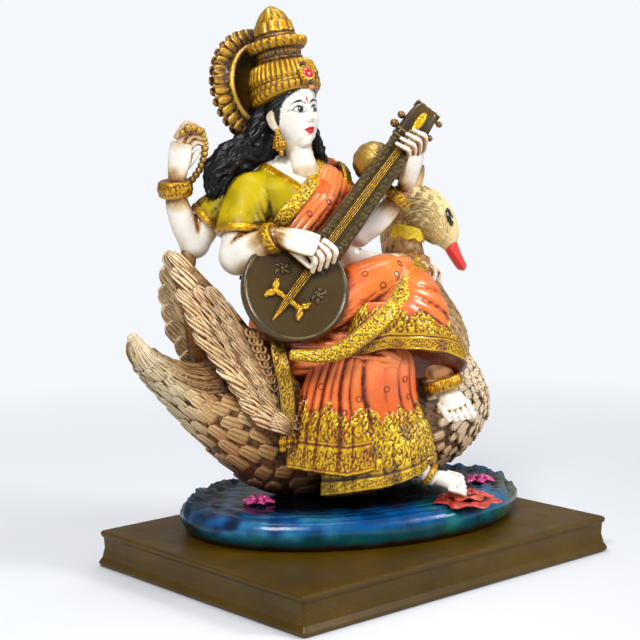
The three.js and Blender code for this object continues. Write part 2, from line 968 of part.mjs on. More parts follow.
function makeLute() {
  const bowl = turned(
    [
      [12, -26],
      [24, -20],
      [31, -8],
      [31.6, -2],
      [30.6, 0],
    ],
    20,
  );
  const neck = sweep({
    stations: [
      [0, 20, -4, 14, 5],
      [1.5, 34, -4, 10.8, 5],
      [1.5, 118, -4, 8, 5],
    ],
    facing: up,
    sides: 6,
  });
  const headLength = 25;
  const headMiddle = 127;
  const pegBox = cut(
    boxAt([18, headLength, 11], [1.5, headMiddle, -4]),
    boxAt([6, headLength * 0.6, 5], [1.5, headMiddle, 1.5]),
  );
  const pegs = [];
  for (const [hand, along] of [
    [-1, 134],
    [-1, 124],
    [1, 135],
    [1, 121],
  ]) {
    pegs.push(ball([1.5 + hand * 11.5, along, -4], [2.6, 2.6, 4.4], side, 5, 3));
  }
  const bridge = boxAt([16, 4.5, 4], [0, -10, 1.2]);
  const strings = boxAt([4.4, 124, 2.4], [0.7, 42, 1.6]);
  const gourd = ball([-5, 99, -21], [12.5, 12.5, 13.5], up, 10, 6);
  return placed([bowl, neck, pegBox, ...pegs, bridge, strings, gourd], luteFrame);
}

// The whole casting as one body in the sculpt's measure, with the pond under it
function makeCasting() {
  const sculpt = [
    makeSwanBody(),
    makeSwanNeck(),
    ...makeSwanTail(),
    ...makeSwanHead(),
    ...makeWing(-1),
    ...makeWing(1),
    makeTrunk(),
    ...makeThighs(),
    ...makeShinCloth(),
    makeDrapeBorder(),
    ...makeSkirt(),
    makeSariEnd(),
    makeShoulderSari(),
    ...makeRightFrontArm(),
    ...makeRightBackArm(),
    ...makeLeftFrontArm(),
    ...makeLeftBackArm(),
    ...makeFeet(),
    ...makeHead(),
    ...makeHair(),
    ...makeCrown(),
    ...makeHalo(),
    ...makeLute(),
    makeFlower(43, -66, 19, 6, 7),
    makeFlower(80, -22, 10, 4, 5),
    makeFlower(-68, -8, 10, 4, 5),
  ];
  const scaling = new THREE.Matrix4()
    .makeTranslation(0, 0, pondThickness - sculptBase * unit)
    .multiply(new THREE.Matrix4().makeScale(unit, unit, unit));
  const whole = outerSkin(join([makePond(), ...placed(sculpt, scaling)]));
  return closeShortEdges(whole, shortestEdge);
}

// The plinth: a slab with a rolled top edge, hollowed sides and a flared foot
const spanOf = (alongX, alongY) =>
  Math.hypot(alongX * Math.cos(castingTurn), alongY * Math.sin(castingTurn));
const plinthLength = spanOf(pondLength, pondWidth) + marginLeft + marginRight;
const plinthDepth = spanOf(pondWidth, pondLength) + marginFront + marginBack;

function roundedRectangle(halfX, halfY, radius, z) {
  const list = [];
  const stepsPerCorner = 3;
  const corners = [
    [1, 1],
    [-1, 1],
    [-1, -1],
    [1, -1],
  ];
  corners.forEach(([sx, sy], corner) => {
    for (let i = 0; i <= stepsPerCorner; i++) {
      const angle = ((corner + i / stepsPerCorner) * Math.PI) / 2;
      const x = sx * (halfX - radius) + radius * Math.cos(angle);
      const y = sy * (halfY - radius) + radius * Math.sin(angle);
      list.push(point(x, y, z));
    }
  });
  return list;
}

function makePlinth() {
  // each row is [how far the side draws in, height]
  const rows = [
    [1.0, 0],
    [0, 1.2],
    [0, 2.4],
    [sideHollow * 0.6, plinthHeight * 0.25],
    [sideHollow, plinthHeight * 0.5],
    [sideHollow * 0.9, plinthHeight - 2 * topBead - 1],
    [sideHollow * 0.45, plinthHeight - 1.6 * topBead],
    [sideHollow * 0.4, plinthHeight - 0.7 * topBead],
    [sideHollow * 0.7, plinthHeight - 0.2 * topBead],
    [sideHollow + 1, plinthHeight],
  ];
  const halfX = plinthLength / 2;
  const halfY = plinthDepth / 2;
  return skin(rows.map(([inset, z]) => roundedRectangle(halfX - inset, halfY - inset, cornerRadius, z)));
}

function named(name, form, color, roughness) {
  form.computeVertexNormals();
  const material = new THREE.MeshStandardMaterial({ color, roughness, metalness: 0 });
  const mesh = new THREE.Mesh(form, material);
  mesh.name = name;
  return mesh;
}

const saraswatiFigure = new THREE.Group();
saraswatiFigure.add(named("plinth", makePlinth(), 0x4a3a1c, 0.35));

const casting = named("figure", makeCasting(), 0xe8dcc4, 0.35);
casting.rotation.z = castingTurn;
casting.position.set(
  (marginLeft - marginRight) / 2,
  (marginFront - marginBack) / 2,
  plinthHeight + glueGap,
);
saraswatiFigure.add(casting);

export default saraswatiFigure;
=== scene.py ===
import bpy
import numpy as np
from numpy import arctan2, clip, cos, degrees, exp, hypot, linspace, pi, radians, sin
from mathutils import Matrix
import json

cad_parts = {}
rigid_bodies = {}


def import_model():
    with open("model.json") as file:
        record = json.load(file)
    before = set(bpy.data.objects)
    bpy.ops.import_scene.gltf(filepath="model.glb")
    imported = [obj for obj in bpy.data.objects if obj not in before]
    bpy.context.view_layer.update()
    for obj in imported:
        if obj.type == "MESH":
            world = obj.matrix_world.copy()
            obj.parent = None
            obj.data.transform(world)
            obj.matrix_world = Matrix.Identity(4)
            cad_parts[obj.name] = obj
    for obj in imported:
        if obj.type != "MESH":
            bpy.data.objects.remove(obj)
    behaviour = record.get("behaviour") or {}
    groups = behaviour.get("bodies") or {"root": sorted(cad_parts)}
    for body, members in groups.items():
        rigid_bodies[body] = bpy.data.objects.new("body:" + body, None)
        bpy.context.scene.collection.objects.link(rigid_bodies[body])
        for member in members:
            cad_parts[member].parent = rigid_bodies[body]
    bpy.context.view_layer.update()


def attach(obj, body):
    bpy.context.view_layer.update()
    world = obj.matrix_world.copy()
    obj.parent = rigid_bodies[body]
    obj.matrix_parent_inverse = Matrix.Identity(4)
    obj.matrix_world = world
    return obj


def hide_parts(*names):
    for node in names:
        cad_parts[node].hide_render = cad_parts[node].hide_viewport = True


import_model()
print("frame loaded")


# measures

def vec(*numbers):
    return np.array(numbers, float)


front, up, side = vec(0, -1, 0), vec(0, 0, 1), vec(1, 0, 0)
seenRight = vec(0.894, -0.449, 0)  # to the right in the photo

casting = {
    "turn": -15,  # degrees: how the casting is glued on, seen from above
    "place": (8.0, 11.9, 22.3),  # the underside of the pond, in the plinth's millimetres
}


def unit(v):
    return v / np.maximum(np.linalg.norm(v, axis=-1, keepdims=True), 1e-9)


def allRound(count):
    # even angles round a full turn
    return linspace(0, 2 * pi, count, endpoint=False)


def ramp(x, low, high):
    s = clip((x - low) / (high - low), 0, 1)
    return s * s * (3 - 2 * s)


def fall(x, low, high):
    return 1 - ramp(x, low, high)


def hill(x, centre, width):
    return exp(-(((x - centre) / width) ** 2))


def ridge(x, count, sharp=0.7):
    # rounded ribs with narrow valleys, from 0 in a valley to 1 on a crest; x runs 0..1
    return abs(sin(pi * x * count)) ** sharp


def rgb(red, green, blue):
    c = vec(red, green, blue) / 255.0
    return np.where(c <= 0.04045, c / 12.92, ((c + 0.055) / 1.055) ** 2.4)


def ripple(p, scale, seed=0.0):
    # a smooth uneven field from a few crossed waves, about -1..1
    q = p / scale
    x, y, z = q[..., 0], q[..., 1], q[..., 2]
    a = sin(1.7 * x + 2.3 * y + 1.1 * z + seed + 1.3 * sin(1.1 * y - 0.7 * z + seed))
    b = sin(-2.1 * x + 1.3 * y + 2.6 * z + 2 * seed + 1.2 * sin(1.3 * z + 0.9 * x))
    c = sin(2.9 * x - 1.9 * y + 1.7 * z + 3 * seed + 1.1 * sin(1.7 * x - y))
    return (a + b + c) / 3


def scroll(u, v, size):
    # rows of curls, as on an embossed border: 1 on the raised line, 0 in the ground
    a = u / size
    b = v / size
    row = np.floor(b)
    a = a + 0.5 * (row % 2)
    turn = np.where((np.floor(a) + row) % 2 > 0, 1.0, -1.0)
    cu = a - np.floor(a) - 0.5
    cv = b - row - 0.5
    r = hypot(cu, cv) * 2
    angle = arctan2(cv, cu) * turn
    curl = 0.5 + 0.5 * cos(angle + r * 6.6 + 0.7)
    leaves = 0.5 + 0.5 * cos(3 * angle + 2.0)
    return clip(np.where(r < 0.9, curl, leaves * 0.8), 0, 1)


# forms

class Form:
    # points in millimetres, faces as quads and triangles, and one value per point for each mark
    def __init__(self, points, quads, tris, marks=None, grid=None):
        self.points = points
        self.quads = quads
        self.tris = tris
        self.marks = marks or {}
        self.grid = grid

    x, y, z = (property(lambda form, k=k: form.points[:, k]) for k in range(3))

    def faces(self):
        return self.quads.tolist() + self.tris.tolist()

    def edges(self):
        q, t = self.quads, self.tris
        return np.vstack([q[:, [0, 1]], q[:, [1, 2]], q[:, [2, 3]], q[:, [3, 0]],
            t[:, [0, 1]], t[:, [1, 2]], t[:, [2, 0]]])

    def normals(self):
        p = self.points
        total = np.zeros_like(p)
        for faces in (self.quads, self.tris):
            if len(faces):
                n = np.cross(p[faces[:, 2]] - p[faces[:, 0]], p[faces[:, -1]] - p[faces[:, 1]])
                for k in range(faces.shape[1]):
                    for axis in range(3):
                        total[:, axis] += np.bincount(faces[:, k], n[:, axis], len(p))
        return unit(total)


noTris = np.zeros((0, 3), int)


def outward(form):
    # turns the faces outwards by the sign of the volume
    p = form.points - form.points.mean(0)
    volume = 0.0
    if len(form.quads):
        a, b, c, d = (p[form.quads[:, k]] for k in range(4))
        volume += np.einsum("ij,ij", a, np.cross(b, c)) + np.einsum("ij,ij", a, np.cross(c, d))
    if len(form.tris):
        a, b, c = (p[form.tris[:, k]] for k in range(3))
        volume += np.einsum("ij,ij", a, np.cross(b, c))
    if volume < 0:
        form.quads = form.quads[:, ::-1]
        form.tris = form.tris[:, ::-1]
    return form


def merge(forms):
    start = np.cumsum([0] + [len(f.points) for f in forms])
    names = sorted({name for f in forms for name in f.marks})
    marks = {}
    for name in names:
        shape = next(f.marks[name].shape[1:] for f in forms if name in f.marks)
        marks[name] = np.concatenate(
            [f.marks.get(name, np.zeros((len(f.points),) + shape)) for f in forms])
    return Form(
        np.vstack([f.points for f in forms]),
        np.vstack([f.quads + s for f, s in zip(forms, start)]),
        np.vstack([f.tris + s for f, s in zip(forms, start)]),
        marks,
    )


def placed(form, matrix):
    form.points = form.points @ matrix[:3, :3].T + matrix[:3, 3]
    if form.grid is not None:
        form.grid = form.grid @ matrix[:3, :3].T + matrix[:3, 3]
    return form


def curveAt(points, t):
    # a smooth line through points, with t from 0 at the first to 1 at the last
    p = np.asarray(points, float)
    n = len(p) - 1
    run = np.vstack([2 * p[0] - p[1], p, 2 * p[-1] - p[-2]])
    place = clip(t, 0, 1) * n
    i = np.minimum(place.astype(int), n - 1)
    w = (place - i)[:, None]
    p0, p1, p2, p3 = run[i], run[i + 1], run[i + 2], run[i + 3]
    d0, d1, d2 = ((((b - a) ** 2).sum(1) ** 0.25)[:, None] for a, b in ((p0, p1), (p1, p2), (p2, p3)))
    d1 = np.where(d1 < 1e-4, 1.0, d1)
    d0 = np.where(d0 < 1e-4, d1, d0)
    d2 = np.where(d2 < 1e-4, d1, d2)
    m1 = ((p1 - p0) / d0 - (p2 - p0) / (d0 + d1) + (p2 - p1) / d1) * d1
    m2 = ((p2 - p1) / d1 - (p3 - p1) / (d1 + d2) + (p3 - p2) / d2) * d1
    return (p1 + m1 * w + (3 * (p2 - p1) - 2 * m1 - m2) * w ** 2
        + (2 * (p1 - p2) + m1 + m2) * w ** 3)


def ringFaces(rows, sides):
    r, s = np.meshgrid(np.arange(rows - 1), np.arange(sides), indexing="ij")
    a = r * sides + s
    b = r * sides + (s + 1) % sides
    return np.stack([a, b, b + sides, a + sides], -1).reshape(-1, 4)


def ringsClosed(rings, marks=None, grid=None):
    # a skin over rings of points, closed by a fan at each end
    rows, sides = rings.shape[:2]
    points = np.vstack([rings.reshape(-1, 3), rings[0].mean(0), rings[-1].mean(0)])
    s = np.arange(sides)
    n = (s + 1) % sides
    last = (rows - 1) * sides
    first = np.stack([np.full(sides, rows * sides), n, s], -1)
    final = np.stack([np.full(sides, rows * sides + 1), last + s, last + n], -1)
    full = {}
    for name, values in (marks or {}).items():
        v = values.reshape(rows * sides, *values.shape[2:])
        full[name] = np.concatenate([v, v[:1], v[-1:]])
    return outward(Form(points, ringFaces(rows, sides), np.vstack([first, final]), full, grid))


def evened(rings, t, angles):
    # the same skin on an even grid
    rows, sides = rings.shape[:2]
    k = np.interp((allRound(sides) - angles[0]) % (2 * pi),
        np.append(angles - angles[0], 2 * pi), np.arange(sides + 1))
    i, part = k.astype(int), (k % 1)[None, :, None]
    rings = rings[:, i % sides] * (1 - part) + rings[:, (i + 1) % sides] * part
    k = np.interp(linspace(0, 1, rows), t, np.arange(rows))
    i = np.minimum(k.astype(int), rows - 2)
    part = (k - i)[:, None, None]
    return rings[i] * (1 - part) + rings[i + 1] * part


def denser(count, low, high, rest):
    # angles in degrees: most of them where the piece is looked at, the rest round the back
    return radians(np.concatenate([linspace(low, high, count, endpoint=False),
        linspace(high, low + 360, rest, endpoint=False)]))


def sweep(stations, facing=front, sides=48, rows=40, wave=None, drop=None, relief=None,
        ends=5, blunt=(0.5, 0.5), angles=None):
    # stations are [x, y, z, across, deep]; deep lies along the facing direction
    table = np.asarray(stations, float)
    t = linspace(0, 1, rows) if np.isscalar(rows) else np.asarray(rows, float)
    level = t
    centre = curveAt(table[:, :3], t)
    girth = curveAt(table[:, 3:5], t)
    ahead = curveAt(table[:, :3], np.minimum(t + 1e-3, 1)) - curveAt(table[:, :3], np.maximum(t - 1e-3, 0))
    along = unit(ahead)
    deep = unit(facing - along * (along @ facing)[:, None])
    across = np.cross(along, deep)
    if ends:
        turn = linspace(0, pi / 2 * 0.97, ends + 1)[1:]
        def cap(i, sign, share):
            reach = girth[i].min() * share * sign * sin(turn)[:, None]
            return centre[i] + along[i] * reach, girth[i] * cos(turn)[:, None]
        c0, g0 = cap(0, -1, blunt[0])
        c1, g1 = cap(-1, 1, blunt[1])
        centre = np.vstack([c0[::-1], centre, c1])
        girth = np.vstack([g0[::-1], girth, g1])
        hold = lambda v: np.vstack([np.repeat(v[:1], ends, 0), v, np.repeat(v[-1:], ends, 0)])
        across, deep = hold(across), hold(deep)
        t = np.concatenate([np.zeros(ends), t, np.ones(ends)])
    angle = allRound(sides) if angles is None else angles
    a, tt = np.meshgrid(angle, t)
    swell = wave(a, tt) if wave else np.ones_like(a)
    ca, sa = cos(a)[..., None], sin(a)[..., None]
    spread = across[:, None] * ca * girth[:, None, 0:1] + deep[:, None] * sa * girth[:, None, 1:2]
    rings = centre[:, None] + spread * swell[..., None]
    flat = np.maximum(girth, 1e-3)
    out = unit(across[:, None] * ca / flat[:, None, 0:1] + deep[:, None] * sa / flat[:, None, 1:2])
    if relief:
        # it fades out where the caps close
        full = max(girth[ends:len(girth) - ends or None].min() * 0.5, 1e-3)
        rings = rings + out * (relief(a, tt) * clip(girth.min(1) / full, 0, 1)[:, None])[..., None]
    if drop:
        rings[..., 2] += drop(a, tt)
    main = rings[ends:len(rings) - ends] if ends else rings
    return ringsClosed(rings, {"angle": a, "t": tt}, evened(main, level, angle))


def ball(centre, radii, axis=up, wide=24, high=16):
    # an ellipsoid whose long axis follows a direction
    axis = unit(np.asarray(axis, float))
    other = unit(np.cross(axis, side if abs(axis[0]) < 0.9 else front))
    third = np.cross(axis, other)
    phi = linspace(0.04, pi - 0.04, high)
    a, f = np.meshgrid(allRound(wide), phi)
    rings = (np.asarray(centre, float)
        + other * (cos(a) * sin(f) * radii[0])[..., None]
        + third * (sin(a) * sin(f) * radii[1])[..., None]
        - axis * (cos(f) * radii[2])[..., None])
    return ringsClosed(rings, {"angle": a, "t": f / pi})


def hoop(major, minor, around=18, sides=6):
    # a plain ring round Z
    a, k = np.meshgrid(allRound(around), allRound(sides), indexing="ij")
    reach = major + minor * cos(k)
    points = np.stack([reach * cos(a), reach * sin(a), minor * sin(k)], -1).reshape(-1, 3)
    i, j = np.arange(around)[:, None] * sides, np.arange(sides)[None]
    n, m = (i + sides) % (around * sides), (j + 1) % sides
    quads = np.stack([i + j, n + j, n + m, i + m], -1).reshape(-1, 4)
    return Form(points, quads, noTris)


def turned(profile, around=64, rows=None, relief=None):
    # a solid of revolution about Z; the profile is a list of [radius, height]
    table = np.asarray(profile, float)
    rows = rows or len(table)
    t = linspace(0, 1, rows)
    line = curveAt(table, t)
    a, tt = np.meshgrid(allRound(around), t)
    radius = np.maximum(line[:, 0], 0.02)[:, None] * np.ones_like(a)
    height = line[:, 1][:, None] * np.ones_like(a)
    if relief:
        slope = unit(np.stack([np.gradient(line[:, 1]), -np.gradient(line[:, 0])], -1))
        if slope[:, 0].sum() < 0:
            slope = -slope
        amount = relief(a, height, tt)
        radius = radius + amount * slope[:, 0:1]
        height = height + amount * slope[:, 1:2]
    rings = np.stack([radius * cos(a), radius * sin(a), height], -1)
    return ringsClosed(rings, {"angle": a, "t": tt, "height": height})


def frameOf(x, y, z, origin):
    return np.vstack([np.c_[x, y, z, origin], [0, 0, 0, 1]])


def turnAbout(axis, angle):
    # a turn in degrees about X (0), Y (1) or Z (2)
    i, j = (axis + 1) % 3, (axis + 2) % 3
    m = np.eye(3)
    m[i, i] = m[j, j] = cos(radians(angle))
    m[j, i] = sin(radians(angle))
    m[i, j] = -m[j, i]
    return m


def frameAt(origin, axis, toward=front):
    # a matrix whose Z follows an axis, for forms turned about Z
    z = unit(np.asarray(axis, float))
    y = unit(toward - z * (z @ toward))
    return frameOf(np.cross(y, z), y, z, origin)


def surfaceAt(grid, t, angle):
    # points and outward normals on a swept skin
    rows, sides = grid.shape[:2]
    r = clip(t, 0, 1) * (rows - 1)
    s = (angle / (2 * pi) % 1) * sides
    r0 = np.minimum(r.astype(int), rows - 2)
    s0 = s.astype(int) % sides
    s1 = (s0 + 1) % sides
    fr, fs = (r - r0)[..., None], (s - np.floor(s))[..., None]
    a, b, c, d = grid[r0, s0], grid[r0, s1], grid[r0 + 1, s1], grid[r0 + 1, s0]
    point = (a * (1 - fs) + b * fs) * (1 - fr) + (d * (1 - fs) + c * fs) * fr
    normal = unit(np.cross(b - a, d - a))
    outwards = point - grid.mean(1)[r0]
    return point, normal * np.sign((normal * outwards).sum(-1, keepdims=True))


def shingles(grid, t0, a0, length, width, lift=1.0, columns=11, rows=8, ribs=4,
        ribDepth=0.14, skew=0.0, roundness=0.5):
    # overlapping feathers or petals, laid on a swept skin and bent to its shape
    sink = 0.9  # how deep the rims reach into the skin
    n = len(t0)
    t0, a0, length, width, skew = (np.broadcast_to(v, n)[:, None, None]
        for v in (t0, a0, length, width, skew))
    step = 0.01
    pace = lambda dt, da: np.linalg.norm(
        surfaceAt(grid, clip(t0 + dt, 0, 1), a0 + da)[0] - surfaceAt(grid, clip(t0 - dt, 0, 1), a0 - da)[0],
        axis=-1) / (2 * step)
    u = np.concatenate([[-1, -0.93], linspace(-0.75, 0.75, columns - 4), [0.93, 1]])
    v = np.concatenate([[0, 0.05], linspace(0.2, 0.86, rows - 4), [0.955, 1]])
    vv, uu = np.meshgrid(v, u, indexing="ij")
    body = 0.62 + 0.38 * sin(pi * clip(vv / (2 * (1 - roundness)), 0, 0.5))
    tip = np.sqrt(clip(1 - ((vv - 1 + roundness) / roundness).clip(0) ** 2, 0.02, 1))
    shape = body * tip
    height = lift * (0.15 + 0.85 * vv) + 0.25 * lift * (1 - uu ** 2)
    height = height + ribDepth * cos(pi * uu * ribs) * ramp(vv, 0.1, 0.5) * (abs(uu) < 0.9)
    height = height + 0.22 * lift * hill(uu, 0, 0.1) * ramp(1 - vv, 0.05, 0.3)
    rim = (abs(uu) > 0.99) | (vv > 0.99) | (vv < 0.01)
    height = np.where(rim, -sink, height)
    across = width * 0.5 * uu * shape + skew * length * vv
    point, normal = surfaceAt(grid, t0 - length / pace(step, 0) * vv, a0 + across / pace(0, step))
    points = point + normal * height[..., None]
    middle = points[:, len(v) // 2, len(u) // 2] - normal[:, len(v) // 2, len(u) // 2] * (lift + sink * 2.2)
    nr, nc = len(v), len(u)
    r, c = np.meshgrid(np.arange(nr - 1), np.arange(nc - 1), indexing="ij")
    k = (r * nc + c).ravel()
    quad = np.stack([k, k + 1, k + 1 + nc, k + nc], -1)
    loop = np.concatenate([np.arange(nc), np.arange(1, nr) * nc + nc - 1,
        (nr - 1) * nc + np.arange(nc - 2, -1, -1), np.arange(nr - 2, 0, -1) * nc])
    fan = np.stack([np.full(len(loop), nr * nc), np.roll(loop, -1), loop], -1)
    each = nr * nc + 1
    offset = (np.arange(n) * each)[:, None, None]
    everything = np.concatenate([points.reshape(n, -1, 3), middle[:, None]], 1).reshape(-1, 3)
    shade = clip(ramp(1 - vv, 0.7, 0.98) + 0.95 * ramp(abs(uu), 0.84, 0.98)
        + 0.8 * ramp(vv, 0.94, 1.0)
        + 0.8 * ramp(0.5 - 0.5 * cos(pi * uu * ribs), 0.55, 1) * ramp(vv, 0.1, 0.3), 0, 1)
    shade = np.broadcast_to(np.append(shade.ravel(), 1.0), (n, each)).ravel().copy()
    fade = np.broadcast_to(np.append(vv.ravel(), 0.0), (n, each)).ravel().copy()
    form = Form(everything, (quad[None] + offset).reshape(-1, 4), (fan[None] + offset).reshape(-1, 3),
        {"shade": shade, "fade": fade})
    # the faces follow the skin's outward normal
    q = form.quads[: len(quad)]
    n0 = np.cross(form.points[q[:, 2]] - form.points[q[:, 0]], form.points[q[:, 3]] - form.points[q[:, 1]])
    if (n0 * normal[0, :-1, :-1].reshape(-1, 3)).sum() < 0:
        form.quads = form.quads[:, ::-1]
        form.tris = form.tris[:, ::-1]
    return form


def neighbourMean(values, edges, count):
    a, b = edges.T
    total = np.zeros_like(values)
    for k in range(values.shape[1]):
        total[:, k] = np.bincount(a, values[b, k], count) + np.bincount(b, values[a, k], count)
    degree = np.bincount(a, None, count) + np.bincount(b, None, count)
    return total / np.maximum(degree, 1)[:, None]


def hollows(form, rounds=6, depth=0.35):
    # how far each point lies below its smoothed surroundings, 0..1
    edges = form.edges()
    eased = form.points
    for _ in range(rounds):
        eased = neighbourMean(eased, edges, len(form.points))
    below = ((eased - form.points) * form.normals()).sum(1) / depth
    return clip(below, -1, 1)


def selectOnly(obj):
    bpy.ops.object.select_all(action="DESELECT")
    obj.select_set(True)
    bpy.context.view_layer.objects.active = obj


def takeForm(obj):
    # the object's mesh as a form; the object goes
    mesh = obj.data
    points = np.zeros(len(mesh.vertices) * 3)
    mesh.vertices.foreach_get("co", points)
    faces = [tuple(f.vertices) for f in mesh.polygons]
    quads = [f for f in faces if len(f) == 4]
    tris = [(f[0], f[k], f[k + 1]) for f in faces if len(f) != 4 for k in range(1, len(f) - 1)]
    bpy.data.objects.remove(obj)
    bpy.data.meshes.remove(mesh)
    table = lambda rows, corners: np.array(rows, int).reshape(-1, corners)
    return Form(points.reshape(-1, 3), table(quads, 4), table(tris, 3))


def fuse(forms, voxel, easing=2):
    # melts overlapping forms into one skin, as modelling clay
    whole = merge(forms)
    mesh = bpy.data.meshes.new("clay")
    mesh.from_pydata(whole.points.tolist(), [], whole.faces())
    clay = bpy.data.objects.new("clay", mesh)
    bpy.context.scene.collection.objects.link(clay)
    selectOnly(clay)
    melt = clay.modifiers.new("melt", "REMESH")
    melt.mode = "VOXEL"
    melt.voxel_size = voxel
    ease = clay.modifiers.new("ease", "SMOOTH")
    ease.factor = 0.5
    ease.iterations = easing
    bpy.ops.object.modifier_apply(modifier="melt")
    bpy.ops.object.modifier_apply(modifier="ease")
    return takeForm(clay)


# paint

colours = {
    "skin": rgb(246, 240, 228),
    # the brown the skin darkens to: its wash and its painted shade
    "skinWash": rgb(116, 62, 12),
    "gold": rgb(214, 160, 12),
    "goldLight": rgb(240, 196, 34),
    "goldDeep": rgb(40, 24, 4),
    "oldGold": rgb(128, 88, 24),
    "hair": rgb(8, 8, 11),
    "olive": rgb(190, 166, 0),
    "orange": rgb(226, 102, 36),
    "amber": rgb(226, 128, 30),
    "foldHighlight": rgb(244, 138, 74),
    "clothWashAndShade": rgb(86, 26, 6),
    "wood": rgb(72, 54, 22),
    "woodDark": rgb(30, 20, 8),
    "cream": rgb(242, 204, 146),
    "tan": rgb(204, 146, 88),
    "white": rgb(246, 226, 190),
    "umber": rgb(48, 22, 8),
    "red": rgb(222, 24, 38),
    "billRed": rgb(232, 62, 54),
    "pink": rgb(222, 74, 150),
    "blue": rgb(0, 94, 138),
    "teal": rgb(6, 66, 72),
    "black": rgb(8, 9, 12),
}


def paintOf(colour):
    return colours[colour] if isinstance(colour, str) else colour


def painted(form, colour, gold=0.0, recess=0.0):
    n = len(form.points)
    form.marks["paint"] = np.broadcast_to(paintOf(colour), (n, 3)).copy()
    form.marks["gold"] = np.broadcast_to(np.asarray(gold, float), n).copy()
    form.marks["recess"] = np.broadcast_to(np.asarray(recess, float), n).copy()
    return form


def mixed(one, other, share):
    return paintOf(one) + (paintOf(other) - paintOf(one)) * share[:, None]


def brush(form, mask, colour, gold=None):
    mask = clip(mask, 0, 1)
    form.marks["paint"] = form.marks["paint"] * (1 - mask[:, None]) + paintOf(colour) * mask[:, None]
    if gold is not None:
        form.marks["gold"] = form.marks["gold"] * (1 - mask) + gold * mask
    return form


def deepen(form, amount):
    form.marks["recess"] = clip(form.marks["recess"] + amount, 0, 1)
    return form


def gilded(form, rounds=3, depth=0.3, base=0.3, gain=1.0):
    # old gilding: bright only on what stands up, brown in what lies low
    painted(form, "gold", gold=1)
    return deepen(form, base + gain * hollows(form, rounds, depth))


def smallRings(grid, places, major=1.6, minor=0.34, colour="orange"):
    # little raised rings stamped on a swept skin; places are [t, degrees]
    rings = []
    for t, turn in places:
        at, out = surfaceAt(grid, vec(t), vec(radians(turn)))
        ring = placed(hoop(major, minor), frameAt(at[0] + out[0] * 0.1, out[0], unit(vec(0.3, 0.2, 1.0))))
        rings.append(painted(ring, colour))
    return rings


# shader groups and materials

def newGroup(name, inputs, outputs):
    group = bpy.data.node_groups.new(name, "ShaderNodeTree")
    for way, sockets in (("INPUT", inputs), ("OUTPUT", outputs)):
        for label, kind in sockets.items():
            group.interface.new_socket(name=label, in_out=way, socket_type="NodeSocket" + kind)
    return group, group.nodes.new("NodeGroupInput").outputs, group.nodes.new("NodeGroupOutput")


def newMaterial(name):
    material = bpy.data.materials.new(name)
    material.use_nodes = True
    return material, material.node_tree, material.node_tree.nodes["Principled BSDF"]


def join(tree, node, links):
    # each socket takes a link or a plain value
    for socket, source in links.items():
        if isinstance(source, bpy.types.NodeSocket):
            tree.links.new(source, node.inputs[socket])
        else:
            node.inputs[socket].default_value = source
    return node


def addNode(tree, kind, links=None, **values):
    node = tree.nodes.new("ShaderNode" + kind)
    for name, value in values.items():
        setattr(node, name, value)
    return join(tree, node, links or {})


def objectPlace(tree):
    return addNode(tree, "TexCoord").outputs["Object"]


def noiseNode(tree, coords, scale, detail=3.0, rough=0.55):
    links = {"Vector": coords, "Scale": scale, "Detail": detail, "Roughness": rough}
    return addNode(tree, "TexNoise", links).outputs[0]


def mathNode(tree, operation, a, b, clamp=False):
    return addNode(tree, "Math", {0: a, 1: b}, operation=operation, use_clamp=clamp).outputs[0]


def rangeNode(tree, value, low, high, toLow=0.0, toHigh=1.0):
    links = {"Value": value, "From Min": low, "From Max": high, "To Min": toLow, "To Max": toHigh}
    return addNode(tree, "MapRange", links).outputs[0]


def mixColour(tree, factor, a, b):
    return addNode(tree, "Mix", {0: factor, 6: a, 7: b}, data_type="RGBA").outputs[2]


def bumpNode(tree, height, strength, distance):
    return addNode(tree, "Bump", {"Height": height, "Strength": strength, "Distance": distance}).outputs[0]


def makeAgedAndShadedPaint():
    # hand-brushed paint with small chips and specks, darkened by the recess mark: a dark wash lying in the
    # hollows together with painted shade in the nooks and on the undersides
    group, given, result = newGroup(
        "agedAndShadedPaint",
        {"Paint": "Color", "WashAndShade": "Color", "Recess": "Float", "Mottle": "Float", "Specks": "Float"},
        {"Colour": "Color", "WashShadeAndSpecks": "Float"})
    coords = objectPlace(group)
    broad = rangeNode(group, noiseNode(group, coords, 60, 3), 0.3, 0.7, -1, 1)
    level = mathNode(group, "ADD", mathNode(group, "MULTIPLY", broad, given["Mottle"]), 1.0)
    toned = addNode(group, "VectorMath", {0: given["Paint"], "Scale": level}, operation="SCALE").outputs[0]
    grainy = rangeNode(group, noiseNode(group, coords, 420, 4, 0.65), 0.3, 0.7, 0.55, 1.35)
    amount = mathNode(group, "MULTIPLY", given["Recess"], grainy, clamp=True)
    specks = rangeNode(group, noiseNode(group, coords, 900, 2, 0.5), 0.66, 0.74)
    washShadeAndSpecks = mathNode(group, "MAXIMUM", amount, mathNode(group, "MULTIPLY", specks, given["Specks"]))
    join(group, result, {"Colour": mixColour(group, washShadeAndSpecks, toned, given["WashAndShade"]), "WashShadeAndSpecks": washShadeAndSpecks})
    return group


def makeBrushedSurface():
    # the small unevenness of cast and lacquered resin
    group, given, result = newGroup(
        "brushedSurface", {"Scale": "Float", "Pits": "Float"}, {"Height": "Float", "Dull": "Float"})
    coords = objectPlace(group)
    grain = noiseNode(group, coords, given["Scale"], 4.0, 0.6)
    pits = addNode(group, "TexVoronoi", {"Vector": coords, "Scale": 380.0}).outputs["Distance"]
    pitted = mathNode(group, "MULTIPLY", rangeNode(group, pits, 0.0, 0.22, -1, 0), given["Pits"])
    join(group, result, {"Height": mathNode(group, "ADD", grain, pitted),
        "Dull": rangeNode(group, noiseNode(group, coords, 110, 3), 0.35, 0.7)})
    return group


agedAndShadedPaint = makeAgedAndShadedPaint()
brushedSurface = makeBrushedSurface()


